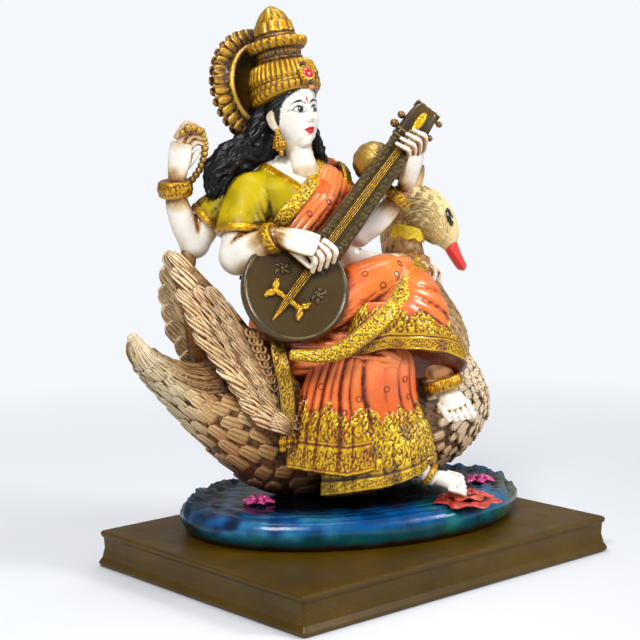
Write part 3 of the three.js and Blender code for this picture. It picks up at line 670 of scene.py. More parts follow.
def resin(name, washAndShade, rough, coat=0.6, mottle=0.1, specks=0.2, scale=300.0, bump=0.25, pits=0.3,
        metal=0.72, goldRough=0.34, shine=0.5):
    # painted resin: paint, gold and recess come from the mesh
    material, tree, shader = newMaterial(name)
    mark = lambda label, kind="Fac": addNode(tree, "Attribute", attribute_name=label).outputs[kind]
    # the recess mark darkens the paint towards the wash colour; it holds both the wash and the painted shade
    agedAndShaded = addNode(tree, "Group", {
        "Paint": mark("paint", "Color"), "Recess": mark("recess"), "WashAndShade": (*paintOf(washAndShade), 1),
        "Mottle": mottle, "Specks": specks}, node_tree=agedAndShadedPaint).outputs
    surface = addNode(tree, "Group", {"Scale": scale, "Pits": pits}, node_tree=brushedSurface).outputs
    gold = mark("gold")
    clean = mathNode(tree, "SUBTRACT", 1.0, agedAndShaded["WashShadeAndSpecks"], clamp=True)
    base = rangeNode(tree, surface["Dull"], 0, 1, rough, rough + 0.14)
    join(tree, shader, {
        "Base Color": agedAndShaded["Colour"],
        "Metallic": mathNode(tree, "MULTIPLY", mathNode(tree, "MULTIPLY", gold, metal), clean),
        "Roughness": addNode(tree, "Mix", {0: gold, 2: base, 3: goldRough}).outputs[0],
        "Coat Weight": rangeNode(tree, agedAndShaded["WashShadeAndSpecks"], 0, 1, coat, coat * 0.6),
        "Coat Roughness": 0.12,
        "Specular IOR Level": shine,
        "Normal": bumpNode(tree, surface["Height"], bump, 0.0006),
    })
    return material


finishes = {
    "skin": resin("skinPaint", "skinWash", 0.2, mottle=0.02, specks=0.08, bump=0.05, pits=0.1),
    "face": resin("facePaint", "skinWash", 0.2, mottle=0.01, specks=0.0, bump=0.03, pits=0.0),
    "hair": resin("hairPaint", rgb(2, 2, 3), 0.3, coat=0.0, mottle=0.2, specks=0.0, bump=0.3, shine=0.3),
    "gold": resin("goldPaint", "goldDeep", 0.3, coat=0.45, mottle=0.22, specks=0.55, scale=900,
        bump=0.7, pits=0.8, metal=0.8, goldRough=0.3),
    "cloth": resin("sariPaint", "clothWashAndShade", 0.24, coat=0.4, shine=0.4, mottle=0.1, specks=0.1, bump=0.12,
        pits=0.15),
    "blouse": resin("blousePaint", rgb(70, 44, 4), 0.4, coat=0.04, shine=0.2,
        mottle=0.12, specks=0.3, bump=0.16, pits=0.4),
    "lute": resin("lutePaint", "woodDark", 0.24, coat=0.3, shine=0.35, mottle=0.08, specks=0.1, bump=0.1),
    "swan": resin("featherPaint", "umber", 0.42, coat=0.2, mottle=0.16, specks=0.6, scale=900,
        bump=0.7, pits=0.8),
    "bill": resin("billPaint", rgb(120, 10, 8), 0.22, mottle=0.04, specks=0.02, bump=0.08),
    "pond": resin("pondPaint", "black", 0.16, coat=0.15, shine=0.25, mottle=0.35, specks=0.1, bump=0.15),
    "flower": resin("flowerPaint", rgb(70, 16, 16), 0.3, mottle=0.2, specks=0.4, bump=0.4),
}

kept = []  # [name, form, finish, angle above which an edge is sharp]


def keep(name, forms, finish, sharp=None):
    kept.append([name, merge(forms) if isinstance(forms, list) else forms, finish, sharp])


# the pond

pond = {
    "length": 224.0,
    "width": 156.0,
    "thick": 18.0,
    "rows": [[0.955, 0], [0.985, 0.2], [1, 0.5], [0.99, 0.78], [0.95, 0.96], [0.88, 1.01],
        [0.72, 1], [0.5, 1], [0.28, 1], [0.02, 1]],
}


def makePond():
    around, rows = 200, 50
    t = linspace(0, 1, rows)
    line = curveAt(pond["rows"], t)
    a = np.meshgrid(allRound(around), t)[0]
    share = line[:, 0][:, None] + 0 * a
    level = line[:, 1][:, None]
    rough = 1 + level.clip(0, 1) * (0.012 * sin(5 * a + 1) + 0.01 * sin(9 * a)) * (share > 0.5)
    x = cos(a) * pond["length"] / 2 * share * rough
    y = sin(a) * pond["width"] / 2 * share * rough
    rings = np.stack([x, y, pond["thick"] * level + 0 * a], -1)
    flat = rings * [1, 1, 0]
    # rocks stand up at the back, at the left and at the right of the rim
    lumps = ripple(flat, 5.0, 2.0) + 0.5 * ripple(flat, 2.3, 5.0)
    facing = clip(-sin(a + 0.35) * 1.6, 0, 1)
    rocky = (1 - facing) * hill(share, 0.9, 0.2)
    swell = 0.7 * sin(64 * share + 2.5 * sin(3 * a) + 1.5 * ripple(flat, 20.0)) * ramp(share, 0.6, 0.75) \
        * fall(share, 0.93, 0.98)
    waves = 0.55 * swell + 0.3 * ripple(flat, 12.0, 1.0) * (share > 0.6)
    rings[..., 2] += rocky * (1.9 * lumps + 0.5) + facing * waves
    bulge = rocky * (lumps * 1.1 - 1.2) * (share > 0.85)
    rings[..., 0] += cos(a) * bulge
    rings[..., 1] += sin(a) * bulge
    form = painted(ringsClosed(rings), "blue")
    p = form.points
    x, y, z = p.T
    wet = ripple(p, 11.0, 4.0)
    turnAt = degrees(arctan2(-y, x))  # 0 right, 90 front, 180 left
    rim = ramp(z, 9.5, 13)
    back = clip(ramp(y, -20, 30) + ramp(-x, 60, 100), 0, 1)
    near = hypot((x + 5) / 108, (y - 8) / 62)
    for mask, colour in (
            (0.8 * rim * ramp(turnAt, 50, 80), rgb(0, 70, 136)),
            (0.6 * ramp(wet, 0.1, 0.6), rgb(0, 40, 84)),
            (0.8 * (1 - rim) * fall(abs(turnAt - 90), 40, 60), rgb(0, 62, 66)),
            (0.55 * ramp(turnAt, 112, 136) * fall(turnAt, 160, 176) * ramp(-wet, -0.4, 0.4),
                rgb(60, 140, 168)),
            (0.6 * fall(abs(turnAt - 62), 8, 24) * ramp(ripple(p, 9.0, 2.0), -0.5, 0.4), rgb(0, 140, 146)),
            (fall(z + wet, 5.0, 10.5), "teal"),
            (0.5 * ramp(ripple(p, 15.0, 8.0), 0.3, 0.8) * fall(z, 8, 13), rgb(24, 104, 62)),
            (fall(z + 0.9 * ripple(p, 9.0), 1.6, 5.0), rgb(46, 26, 6)),
            (fall(near + 0.16 * wet, 0.8, 1.14), "black"),
            (0.8 * back * ramp(ripple(p, 6.0, 9.0), -0.4, 0.5) * ramp(z, 6, 12), "black"),
            (0.5 * back * ramp(-wet, 0.0, 0.6) * ramp(z, 9, 15), rgb(20, 90, 150)),
            (0.85 * ramp(x, 66, 92) * ramp(-y, -10, 30), rgb(84, 84, 52))):
        brush(form, mask, colour)
    deepen(form, hollows(form, 8, 0.5).clip(0))
    keep("pond", form, "pond")


def petalRing(x, y, z, radius, count, width, rise, turn, colour):
    petals = []
    for i in range(count):
        a = 2 * pi * i / count + turn
        out = vec(cos(a), sin(a), 0)
        root = vec(x, y, z) + out * radius * 0.12
        mid = vec(x, y, z + rise * 0.75) + out * radius * 0.6
        tip = vec(x, y, z + rise * 0.55) + out * radius
        petal = sweep([[*root, width * 0.25, 1.0], [*mid, width * 0.5, 1.3], [*tip, width * 0.12, 0.5]],
            up, 14, 9, ends=2,
            relief=lambda an, t: (0.25 * cos(pi * 4 * cos(an) + i) - 0.35 * hill(cos(an), 0, 0.16))
            * (sin(an) > 0))
        petal.points[:, 2] += 0.7 * ripple(petal.points, 4.0, i)
        painted(petal, colour)
        deepen(petal, 0.8 * ramp(hollows(petal, 3, 0.25), 0.05, 0.8))
        brush(petal, 0.5 * (1 - petal.marks["t"]), paintOf(colour) * 0.5)
        deepen(petal, 0.7 * fall(petal.marks["t"], 0.0, 0.35))
        petals.append(petal)
    return petals


flowers = {
    # rings of petals: x, y, z, radius, count, width, rise, turn, colour
    "lotus": [[43, -66, 17.6, 21, 7, 17, 3.2, 0.2, rgb(206, 62, 44)],
        [44, -65, 19.4, 14, 6, 12, 4.6, 0.55, rgb(222, 84, 56)],
        [45, -64, 21, 8, 5, 8, 4.0, 0.1, rgb(206, 70, 52)]],
    "pinkFlowers": [[80, -22, 18.4, 10, 6, 6.5, 2.6, 0.1, "pink"],
        [80, -22, 19, 6.5, 5, 4.5, 4.0, 0.6, "pink"],
        [-68, -8, 18.4, 10, 6, 6.0, 2.2, 0.4, "pink"],
        [-68, -8, 19, 6.0, 5, 4.2, 3.4, 0.9, "pink"]],
}


def makeFlowers():
    for name, rings in flowers.items():
        keep(name, [petal for ring in rings for petal in petalRing(*ring)], "flower")


# the swan

swan = {
    "body": [[-131, 12, 107, 12, 7.2], [-121, 12, 98.5, 18.6, 9.3], [-102, 11, 85.4, 23.6, 16.2],
        [-80, 9, 74.2, 29.6, 27.2], [-62, 8.5, 67.2, 33.6, 36.4], [-45, 8, 62.4, 36.4, 43.8],
        [-2, 8, 62, 41, 46], [38, 8, 65, 40, 45],
        [70, 8, 71, 33, 38], [88, 8, 75, 22, 26], [97, 8, 78, 6, 8]],
    "neck": [[58, 8, 86, 27, 30], [64, 9, 108, 20, 23], [57, 11, 132, 14.5, 16],
        [47, 12, 152, 12.5, 13], [42, 12, 172, 12, 12.5], [42, 11, 188, 12.5, 13]],
    "skull": [[33, 12, 188, 8, 8], [41, 10, 192, 14, 14.5], [53, 6, 190, 15, 16],
        [63, 3, 182, 13, 13.5], [69, 1, 173, 8.5, 9], [71, 0, 168, 5, 5]],
    "bill": [[67, 0, 179, 6, 5.6], [71.2, -0.5, 168, 5, 4.6], [75, -1, 160.5, 5, 3.6],
        [79, -1.6, 154, 4.6, 2.8], [80, -1.8, 152.4, 2.4, 1.4]],
    "crest": [[46, 8, 199, 9, 8], [50, 8, 208, 5.6, 5], [54.5, 8.5, 214, 2.8, 2.6],
        [56, 9, 218.5, 1.5, 1.4]],
    "middle": 8.0,
}


def staggered(tFrom, tTo, rowCount, aFrom, aTo, perRow, jitter=0.0):
    # places in rows, each row shifted by half a feather; angles in degrees
    ts, angles = [], []
    for r in range(rowCount):
        t = tFrom + (tTo - tFrom) * r / max(rowCount - 1, 1)
        count = perRow[0] + (perRow[1] - perRow[0]) * r / max(rowCount - 1, 1)
        count = int(round(count))
        for k in range(count):
            share = (k + (0.5 if r % 2 else 0.0)) / count
            ts.append(t + jitter * sin(5.1 * k + 2.7 * r) * (tTo - tFrom) / rowCount)
            angles.append(radians(aFrom + (aTo - aFrom) * share))
    return np.array(ts), np.array(angles)


def featherColour(form):
    # cream on the wings and breast, tan on the flanks, dark below
    x, _, z = form.points.T
    painted(form, "cream")
    low = fall(z, 40, 92)
    hue = ripple(form.points, 19.0, 5.0)
    brush(form, 0.8 * low * fall(x, 30, 80), "tan")
    brush(form, 0.45 * ramp(hue, 0.0, 0.8) * fall(x, 30, 60), rgb(196, 124, 70))
    brush(form, 0.35 * ramp(-hue, 0.2, 0.8) * low, rgb(140, 128, 92))
    brush(form, 0.85 * fall(z, 24, 52), rgb(70, 56, 44))
    brush(form, ramp(x, 20, 60) * (1 - 0.7 * low), "white")
    brush(form, 0.8 * ramp(-x - 0.35 * (z - 90), 106, 122) * (z < 134), rgb(230, 222, 186))
    return form


def makeSwanBody():
    body = sweep(swan["body"], up, 60, 50)
    featherColour(body)
    # painted shade: the body under the feathers is darkened, and shows in the gaps between them
    deepen(body, 0.85 - 0.5 * ramp(body.x, 86, 92))
    stationX = [station[0] for station in swan["body"]]
    level = lambda x: np.interp(x, stationX, linspace(0, 1, len(stationX)))
    s, a = staggered(1.294, 0, 23, 0, 360, (19, 13), 0.25)
    t = level(s * 150 - 124)
    x, y, z = surfaceAt(body.grid, t, a)[0].T
    # none are laid under the pond or under the lap
    underLap = (z > 96) & (x > -62) & (x < 34) & (y < 20)
    bare = (z > 24) & ~underLap & ~((x > 28) & (y < 0))
    t, a, x, y = (v[bare] for v in (t, a, x, y))
    tail = ramp(-x, 60, 118)
    breast = ramp(x, 52, 80)
    length = 14.0 + tail - 4.5 * breast + 1.0 * sin(7 * a + 40 * t)
    width = 14.0 - 3.0 * tail - 3.5 * breast
    skew = 0.1 * sin(5 * a + 17 * t)
    near = y < 10
    coats = shingles(body.grid, t[near], a[near], length[near], width[near], lift=1.7, ribs=3,
        ribDepth=0.2, roundness=0.42, columns=12, rows=6, skew=skew[near])
    far = shingles(body.grid, t[~near], a[~near], length[~near] + 1, width[~near] + 1.5, lift=1.7,
        ribs=2, ribDepth=0.2, roundness=0.42, columns=8, rows=5, skew=skew[~near])
    # narrow ragged feathers stand off the stern
    rows = []
    for at, reach, wide, count in (
            (-91, 15, 7, 15), (-101, 15, 6.5, 15), (-111, 15, 6, 13), (-121, 11, 5, 11)):
        angles = radians(linspace(170, 385, count) + 5 * sin(0.4 * at * np.arange(count)))
        rows.append(shingles(body.grid, level(at + 2.5 * sin(np.arange(count) * 2.3)), angles, reach, wide,
            lift=1.9, ribs=3, ribDepth=0.34, columns=11, rows=7,
            roundness=0.3, skew=0.12))
    # short rough tufts fill the breast
    t2, a2 = staggered(0.984, 0.74, 16, 0, 360, (14, 30), 0.9)
    seen = surfaceAt(body.grid, t2, a2)[0][:, 2] > 24
    t2, a2 = t2[seen], a2[seen]
    tufts = shingles(body.grid, t2, a2, 9.5 + 1.5 * sin(9 * a2 + 5 * t2), 7.6, lift=2.3, ribs=2,
        ribDepth=0.25, columns=9, rows=6, roundness=0.7, skew=0.15 * sin(4 * a2 + 31 * t2))
    for form in [coats, far, tufts] + rows:
        featherColour(form)
        deepen(form, form.marks["shade"] * (0.5 if form is tufts else 0.6))
    brush(tufts, 0.8 * ramp(tufts.z, 40, 70), rgb(255, 244, 220))
    keep("swanBody", [body, coats, far, tufts] + rows, "swan")


def makeSwanTail():
    # long fine feathers lie side by side over the top and the tip of the tail
    barbs = lambda a, t: cos(40 * a + 4 * sin(4 * t + a) + 1.5 * sin(11 * a))
    seams = lambda a, t: ridge(a / (2 * pi) + 0.015 * sin(6 * t), 20, 0.6)
    fan = sweep([[-88, 10, 90, 26.5, 14], [-102, 11, 91, 24.8, 11.4], [-121, 12, 99.4, 20.4, 9.2],
        [-132, 12, 108.8, 13.4, 6.6], [-139, 12, 122, 3.4, 2.6]], up, 162, 48, ends=5,
        relief=lambda a, t: 0.32 * barbs(a, t) + 0.9 * (seams(a, t) - 0.4) * ramp(t, 0.05, 0.3)
        * (1 - 0.6 * ramp(t, 0.8, 1)))
    u, t = fan.marks["angle"], fan.marks["t"]
    featherColour(fan)
    brush(fan, 0.3 * ramp(barbs(u, t), 0, 1) + 0.5 * ramp(t, 0.6, 0.9), "white")
    deepen(fan, 0.35 * fall(t, 0.3, 0.75))
    deepen(fan, 0.95 * ramp(0.6 - seams(u, t), 0, 0.5) * ramp(1.1 - t, 0.1, 0.3)
        + 0.75 * ramp(-barbs(u, t), 0.2, 1) * ramp(1.15 - t, 0.1, 0.4))
    deepen(fan, 0.5 * fall(t, 0.0, 0.3))
    feathers = [fan]
    # ragged tips stand off its lower edge
    edge = curveAt([[-139, 12, 118], [-139.5, 12, 110], [-134, 12, 101], [-124, 12, 91], [-112, 12, 79],
        [-100, 12, 66], [-86, 12, 52]], linspace(0, 1, 24))
    for i in range(2, 23):
        for hand in (-1, 1):
            at = edge[i] + vec(0, hand * (1.5 + 0.42 * i), 2.4)
            along = unit(edge[i - 1] - edge[i])
            sway = sin(2.7 * i + hand)
            root, tip = at - along * 4, at + along * 5 + vec(-1.0, hand * 0.6, -1.0 - 0.5 * sway)
            f = sweep([[*root, 2.2, 1.2], [*(root * 0.5 + tip * 0.5), 2.9, 1.2], [*tip, 0.8, 0.5]],
                vec(-0.6, 0.6 * hand, -0.6), 9, 5, ends=2)
            featherColour(f)
            feathers.append(deepen(f, 0.25 + 0.6 * (1 - f.marks["t"])))
    keep("swanTail", feathers, "swan")


wingFeathers = [
    # tip, width of each long feather, from the top down
    [[-117, 5, 170], 10],
    [[-117, 0, 161], 11.5],
    [[-116, -5, 149], 12.5],
    [[-112.5, -9, 137], 13],
    [[-109, -12, 126], 13],
    [[-102, -15, 115.5], 13],
    [[-97, -19, 105], 12.5],
    [[-91, -22, 95.5], 12],
    [[-87, -27, 86], 12, 0.55],
    [[-82, -31, 79], 12, 0.5],
    [[-74, -34, 75], 12, 0.42],
]


def mirrored(p, hand):
    q = np.array(p, float)
    if hand > 0:
        q[1] = 2 * swan["middle"] - q[1]
    return q


def longFeather(root, tip, width, facing, bow=2.5, thick=1.7, turn=0.0, tilt=0.3, outer=30, inner=8, rows=14,
        pale=0.0):
    root, tip = np.asarray(root, float), np.asarray(tip, float)
    across = np.cross(unit(tip - root), facing)
    facing = unit(facing + tilt * across * (1 if across[0] * facing[1] > 0 else -1) * np.sign(facing[1]))
    at = lambda s, b: root + (tip - root) * s + facing * b
    barbs = 5.6 + 1.2 * sin(2.3 * turn)
    # the barbs run out and down from the shaft
    grooves = lambda an, t: cos(pi * barbs * abs(cos(an)) - 10 * t + 0.8 * sin(8 * t + turn)
        + 0.9 * sin(5 * cos(an) + turn) + turn)
    # most of the points lie on the side that is seen
    angles = np.concatenate([linspace(0, pi, outer, endpoint=False),
        linspace(pi, 2 * pi, inner, endpoint=False)])
    f = sweep([[*at(-0.15, -1), width * 0.34, thick], [*at(0.2, bow * 0.7), width * 0.47, thick],
        [*at(0.55, bow), width * 0.52, thick], [*at(0.84, bow * 0.5), width * 0.46, thick * 0.8],
        [*at(0.98, 0), width * 0.28, thick * 0.6]],
        facing=facing, rows=rows, ends=3, blunt=(0.5, 1.6), angles=angles,
        relief=lambda an, t: 0.46 * grooves(an, t) + 0.35 * hill(cos(an), 0.05, 0.09)
        + 0.5 * sin(9 * t + turn) * abs(cos(an)) ** 6)
    featherColour(f)
    u, s = f.marks["angle"], f.marks["t"]
    brush(f, 0.5 * ramp(s, 0.5, 1) + 0.35 * ramp(grooves(u, s), 0, 1), "white")
    # pale lightens the whole feather as painted light
    brush(f, pale * np.ones(len(s)), "white")
    deepen(f, (1.1 - pale) * ramp(-grooves(u, s), 0.1, 0.8) * (1 - 0.3 * ramp(s, 0.85, 1)))
    # painted shade at the edges and towards the root, where the next feathers lie over it
    deepen(f, (1.0 - pale) * fall(abs(sin(u)), 0.0, 0.45) * fall(s, 0.85, 1))
    deepen(f, (0.55 - 0.5 * pale) * fall(s, 0.0, 0.5))
    return f


def makeWing(hand, name):
    middle = swan["middle"]
    place = lambda x, out, z: [x, middle + hand * out, z]
    facing = unit(vec(-0.25, hand, 0.1))
    blade = sweep(
        [[*place(-50, 34, 66), 16, 5], [*place(-67, 36, 84), 19, 7], [*place(-81, 30, 108), 13.5, 7],
            [*place(-92, 21, 132), 9, 6], [*place(-102, 13, 150), 6, 4.6], [*place(-110, 6, 164), 3.2, 2.8]],
        facing, 36, 28)
    featherColour(blade)
    # painted shade: the wing under the feathers is darkened where it shows between them
    deepen(blade, 0.7)
    parts = [blade]
    # the far wing is looked at from inside, and is painted paler as painted light where the near wing shades
    # it
    near = {} if hand < 0 else {"outer": 12, "inner": 24, "pale": 0.6}
    for i, (tip, width, *share) in enumerate(wingFeathers):
        push = facing * 0.3 * i
        root = np.array(tip) + vec(17 + 0.9 * i, -8, -22 + 0.6 * i) * (share[0] if share else 1)
        parts.append(longFeather(mirrored(root, hand) + push, mirrored(tip, hand) + push, width,
            facing, turn=1.7 * i, **near))
    # three more rows of shorter feathers up to the leading edge, each over the roots of the one before
    for row, (count, x0, y0, z0, run, width, push) in enumerate((
            (9, -107, -8, 150, [28, -21, -62], 9.5, 2.4), (8, -101, -11, 150, [28, -21, -68], 8.5, 3.4),
            (7, -96, -13, 144, [25, -18, -62], 7, 4.0))):
        for i in range(count):
            s = i / (count - 1)
            tip = mirrored(vec(x0, y0, z0) + s * np.array(run), hand) + facing * push
            root = mirrored(vec(x0 + 13, y0 - 5, z0 - 17) + s * np.array(run), hand) + facing * (push - 1.0)
            parts.append(longFeather(root, tip, width, facing, bow=1.2, thick=1.3, turn=2.1 * i + row,
                rows=9, outer=20, inner=6))
    # loops along the leading edge
    for i in range(26):
        s = i / 25
        wave = 1.8 * (i % 2)
        at = mirrored([-80 + wave + 21 * s, -24 - 13 * s, 124 + wave - 56 * s], hand) + facing * 3.4
        loop = hoop(2.1, 0.95, 14, 7)
        loop.points[:, 0] *= 1.25
        placed(loop, frameAt(at, facing + 0.25 * vec(0, 0, 1.0), unit(vec(0.6, 0, 0.8))))
        featherColour(loop)
        deepen(loop, 0.4 + 0.4 * ramp(1.4 - hypot(*(loop.points - at).T), -0.6, 0.6))
        parts.append(loop)
    keep(name, parts, "swan")


def makeSwanNeck():
    neck = sweep(swan["neck"], side, 40, 36)
    featherColour(neck)
    # painted shade: the neck under the feathers is darkened where it shows between them
    deepen(neck, 0.55)
    t, a = staggered(0.97, 0.03, 25, 0, 360, (22, 29), 0.9)
    coats = shingles(neck.grid, t, a, 7.3 + sin(7 * a), 3.7, lift=0.8, ribs=1, ribDepth=0.1, columns=6,
        rows=5, roundness=0.6, skew=0.22 * sin(3.1 * a + 9 * t))
    featherColour(coats)
    brush(coats, 0.6 * np.ones(len(coats.points)), rgb(252, 222, 164))
    brush(coats, 0.3 * ramp(ripple(coats.points, 14.0, 1.0), 0, 0.8), rgb(186, 140, 84))
    # painted shade: a yellow-brown patch where the knee rests on the neck
    x, y, z = coats.points.T
    brush(coats, 0.5 * exp(-((x - 68) / 12) ** 2 - ((z - 134) / 18) ** 2) * (y < 8), rgb(118, 92, 30))
    deepen(coats, 0.5 * coats.marks["shade"])
    skull = painted(sweep(swan["skull"], up, 64, 44, blunt=(0.6, 0.4)), rgb(255, 236, 172))
    deepen(skull, 0.12)
    t, a = staggered(0.04, 0.8, 24, 0, 360, (22, 28), 0.9)
    x, _, z = surfaceAt(skull.grid, t, a)[0].T
    rear = x < 65 + 3 * sin(z) - 0.3 * (z - 180)
    t, a = t[rear], a[rear]
    fluff = shingles(skull.grid, t, a, 4.6 + sin(5 * a), 2.1, lift=0.6, ribs=1,
        ribDepth=0.05, columns=6, rows=5, roundness=0.7, skew=0.25 * sin(2.3 * a + 11 * t))
    painted(fluff, rgb(255, 238, 176))
    brush(fluff, 0.55 * fall(fluff.x, 34, 54), rgb(208, 166, 100))
    deepen(fluff, fluff.marks["shade"] * (0.62 - 0.25 * ramp(fluff.x, 50, 62)))
    crest = painted(sweep(swan["crest"], side, 24, 20), rgb(236, 200, 140))
    deepen(crest, 0.6 * ramp(crest.marks["t"], 0.3, 1.0) + 0.1)
    keep("swanNeck", [neck, coats], "swan")
    keep("swanHead", [skull, fluff, crest], "swan")

    bill = sweep(swan["bill"], side, 28, 24,
        relief=lambda an, t: -0.35 * hill(sin(an), -0.1, 0.12) * ramp(t, 0.1, 0.3))
    painted(bill, "billRed")
    brush(bill, 0.3 * fall(bill.marks["t"], 0, 0.3), rgb(190, 40, 40))
    keep("swanBill", bill, "bill")

    eyes = []
    tilt = unit(vec(0.35, 0, -0.94))
    for hand in (-1, 1):
        # a painted almond with a dark pupil, proud of the cheek
        centre = vec(66.2, 2.6 + hand * 10.4, 186.5)
        out = unit(vec(0.62, hand * 0.75, 0.25))
        down = unit(tilt - out * (tilt @ out))
        for wide, high, deep, colour, push, drop in (
                (4.7, 6.3, 1.4, "black", 0, 0), (2.0, 3.2, 1.5, "white", 0.35, 0.6),
                (1.5, 2.3, 1.6, "black", 0.6, 0)):
            at = centre + out * push + tilt * drop
            place = frameOf(np.cross(out, down) * wide, down * high, out * deep, at)
            eyes.append(outward(painted(placed(ball([0, 0, 0], [1, 1, 1], up, 18, 9), place), colour)))
    keep("swanEyes", eyes, "face")

    collar = turned([[12.4, -4.4], [13.6, -4], [14.2, -3], [14.2, 3], [13.6, 4], [12.4, 4.4]],
        96, 22, lambda a, h, t: 0.5 * scroll(a * 13, h + 2.2, 4.4) * (abs(h) < 2.4)
        + 0.4 * hill(abs(h), 3.3, 0.5))
    collar.points[:, :2] *= 0.93
    collar.points[:, 2] += 0.8 * sin(9 * collar.marks["angle"]) * (collar.z < 0)
    placed(collar, frameAt([43.6, 9.6, 177.4], [0.2, -0.06, 1]))
    painted(collar, rgb(255, 222, 20), gold=0.1)
    deepen(collar, 0.3 * hollows(collar, 3, 0.12))
    keep("swanCollar", collar, "gold")


# the goddess: limbs

armFacing = unit(vec(0.3, -1.0, 0.2))


def limb(stations, sides=40, rows=40, **more):
    return sweep([[x, y, z, r, r] for x, y, z, r in stations], armFacing, sides, rows, **more)


def makeHand(wrist, knuckles, bend, tips, spread, back, thumb, broad=1.0, deep=1.0, pitch=3.9, finger=1.55,
        fan=0.98):
    w, k = np.array(wrist, float), np.array(knuckles, float)
    wide = unit(np.array(spread, float))
    rear = unit(np.array(back, float))
    # the back of the hand: four stations from wrist to knuckles
    palm = sweep([[*w, 4.8, 4.2 * deep], [*(w + (k - w) * 0.35), 6.2 * broad, 4.4 * deep],
        [*(w + (k - w) * 0.7), 7.4 * broad, 4.0 * deep], [*k, 7.2 * broad, 2.8 * deep]],
        rear, 28, 20)
    parts = [palm]
    lengths = [0.93, 1, 0.98, 0.86]
    for i in range(4):
        offset = wide * (i - 1.5) * pitch
        a = k + offset * 0.95 - (k - w) * 0.06
        b = np.array(bend, float) + offset
        c = np.array(tips, float) + offset * fan
        c = b + (c - b) * lengths[i]
        f = finger
        parts.append(sweep([[*a, f * 1.1, f * 1.1], [*(a * 0.5 + b * 0.5 + rear * 0.9), f, f],
            [*b, f * 1.06, f * 1.06], [*(b * 0.5 + c * 0.5), f * 0.95, f * 0.95], [*c, f * 0.76, f * 0.76]],
            wide, 16, 22, ends=4, blunt=(0.5, 1.0)))
    widths = [3, 2.5, 1.6]
    parts.append(sweep([[*p, widths[i], widths[i]] for i, p in enumerate(thumb)],
        wide, 16, 16, ends=4, blunt=(0.5, 1.0)))
    return parts


arms = {
    "rightFront": {
        "limbs": [[[-75, -6.6, 194, 10.4], [-77.4, -8.6, 181, 11], [-80, -10, 168, 11.2]],
            [[-80, -10, 168, 11.4], [-76, -20, 172, 10.6], [-70.4, -28.5, 177, 7.9],
                [-66, -34.6, 181, 5.6]]],
        "elbow": [[-80, -10, 168], 11.8],
        "hand": dict(wrist=[-67, -34, 181], knuckles=[-48, -47.5, 175], bend=[-42.8, -49, 169],
            tips=[-42.4, -45, 161.5], spread=[0.86, -0.1, 0.32], back=[0.15, -0.75, 0.6],
            thumb=[[-60, -39, 174], [-55, -42.5, 168], [-51, -44.5, 163]],
            broad=1.32, deep=1.15, pitch=4.6, finger=1.9),
        "sleeve": [[-60, -1, 209, 10], [-68, -3, 203, 14.5], [-74, -6, 192, 14.6],
            [-76, -7.4, 185.5, 15], [-77, -8.6, 180.5, 14.6]],
        "bangle": [[-68.4, -31.6, 179.2], [0.55, -0.72, 0.42], 8.4, 6.5],
    },
    "rightBack": {
        "limbs": [[[-86, 14, 192, 8.6], [-90, 16, 184, 8.8], [-96, 18.5, 175, 9]],
            [[-96, 18.5, 175, 9.2], [-103, 17.5, 187, 8.1], [-108, 15.6, 200, 6.8],
                [-109, 14, 211, 5]]],
        "elbow": [[-96, 18.5, 174.5], 9.6],
        "hand": dict(wrist=[-109, 14, 209], knuckles=[-106.5, 10.5, 233.5], bend=[-101.5, 6.5, 240],
            tips=[-94.5, 5, 238], spread=[0.5, 0.1, -0.85], back=[-0.8, -0.6, 0.3],
            thumb=[[-106, 12, 218], [-101, 9, 224], [-97, 8, 229]], broad=1.05, pitch=4.3,
            finger=1.75),
        "sleeve": [[-62, 4, 208, 10], [-72, 8, 202, 13], [-82, 12, 194, 12.6],
            [-85.4, 13.8, 191, 12.8], [-88.4, 15.2, 187.5, 12.4]],
        "bangle": [[-109, 15, 207.5], [-0.12, -0.12, 1], 9.4, 9.5],
    },
    "leftFront": {
        "limbs": [[[-5, -5, 190, 9], [-3, -7, 184, 8.8], [0, -9, 179, 8.7]],
            [[0, -9, 179, 8.7], [9, -14, 185, 7.7], [17.5, -17.5, 194, 6.5], [25.5, -20.5, 204, 5.6]]],
        "elbow": [[0, -9, 178.6], 9.0],
        "hand": dict(wrist=[25.5, -20.5, 204], knuckles=[27, -33, 226], bend=[22.5, -41, 233],
            tips=[14, -41.5, 237], spread=[0.72, -0.3, 0.62], back=[0.45, -0.85, -0.1],
            thumb=[[21, -20, 213], [14, -20, 221], [9, -22, 226]], broad=1.2, deep=1.1, pitch=4.3,
            finger=1.65),
        "sleeve": [[-20, -1, 209, 10], [-12, -2, 203, 13], [-6, -4, 193, 13], [-4.6, -5.4, 189, 13.2],
            [-3.6, -6.4, 184.5, 12.8]],
        "bangle": [[21.8, -19, 200], [0.62, -0.28, 0.73], 8.4, 7.0],
    },
    "leftBack": {
        "limbs": [[[-14, 5, 206, 12], [-2, 12, 192, 10.5], [2, 14, 176, 9], [6, 12, 163, 8],
            [22, 5, 158.5, 6.6], [40, -1.5, 160.5, 4.8]]],
        "elbow": [[5, 12.6, 164], 8.4],
        "hand": dict(wrist=[40, -2, 161], knuckles=[51, -6, 156.4], bend=[53, -8.4, 152.6],
            tips=[52, -7.4, 146], spread=[0.87, -0.47, -0.1], back=[-0.3, -0.7, 0.65],
            thumb=[[42, -5, 159], [44, -8, 155], [45, -8, 151]], broad=0.95, deep=0.9, pitch=4.0,
            finger=1.6),
        "sleeve": [[-16, 4, 209, 11], [-6, 9, 199, 13], [-1, 12.4, 188, 12.4], [1.6, 13.6, 181, 12.2]],
        "bangle": [[43.4, -3, 158.6], [0.9, -0.3, -0.3], 4.5, 3.2],
    },
}


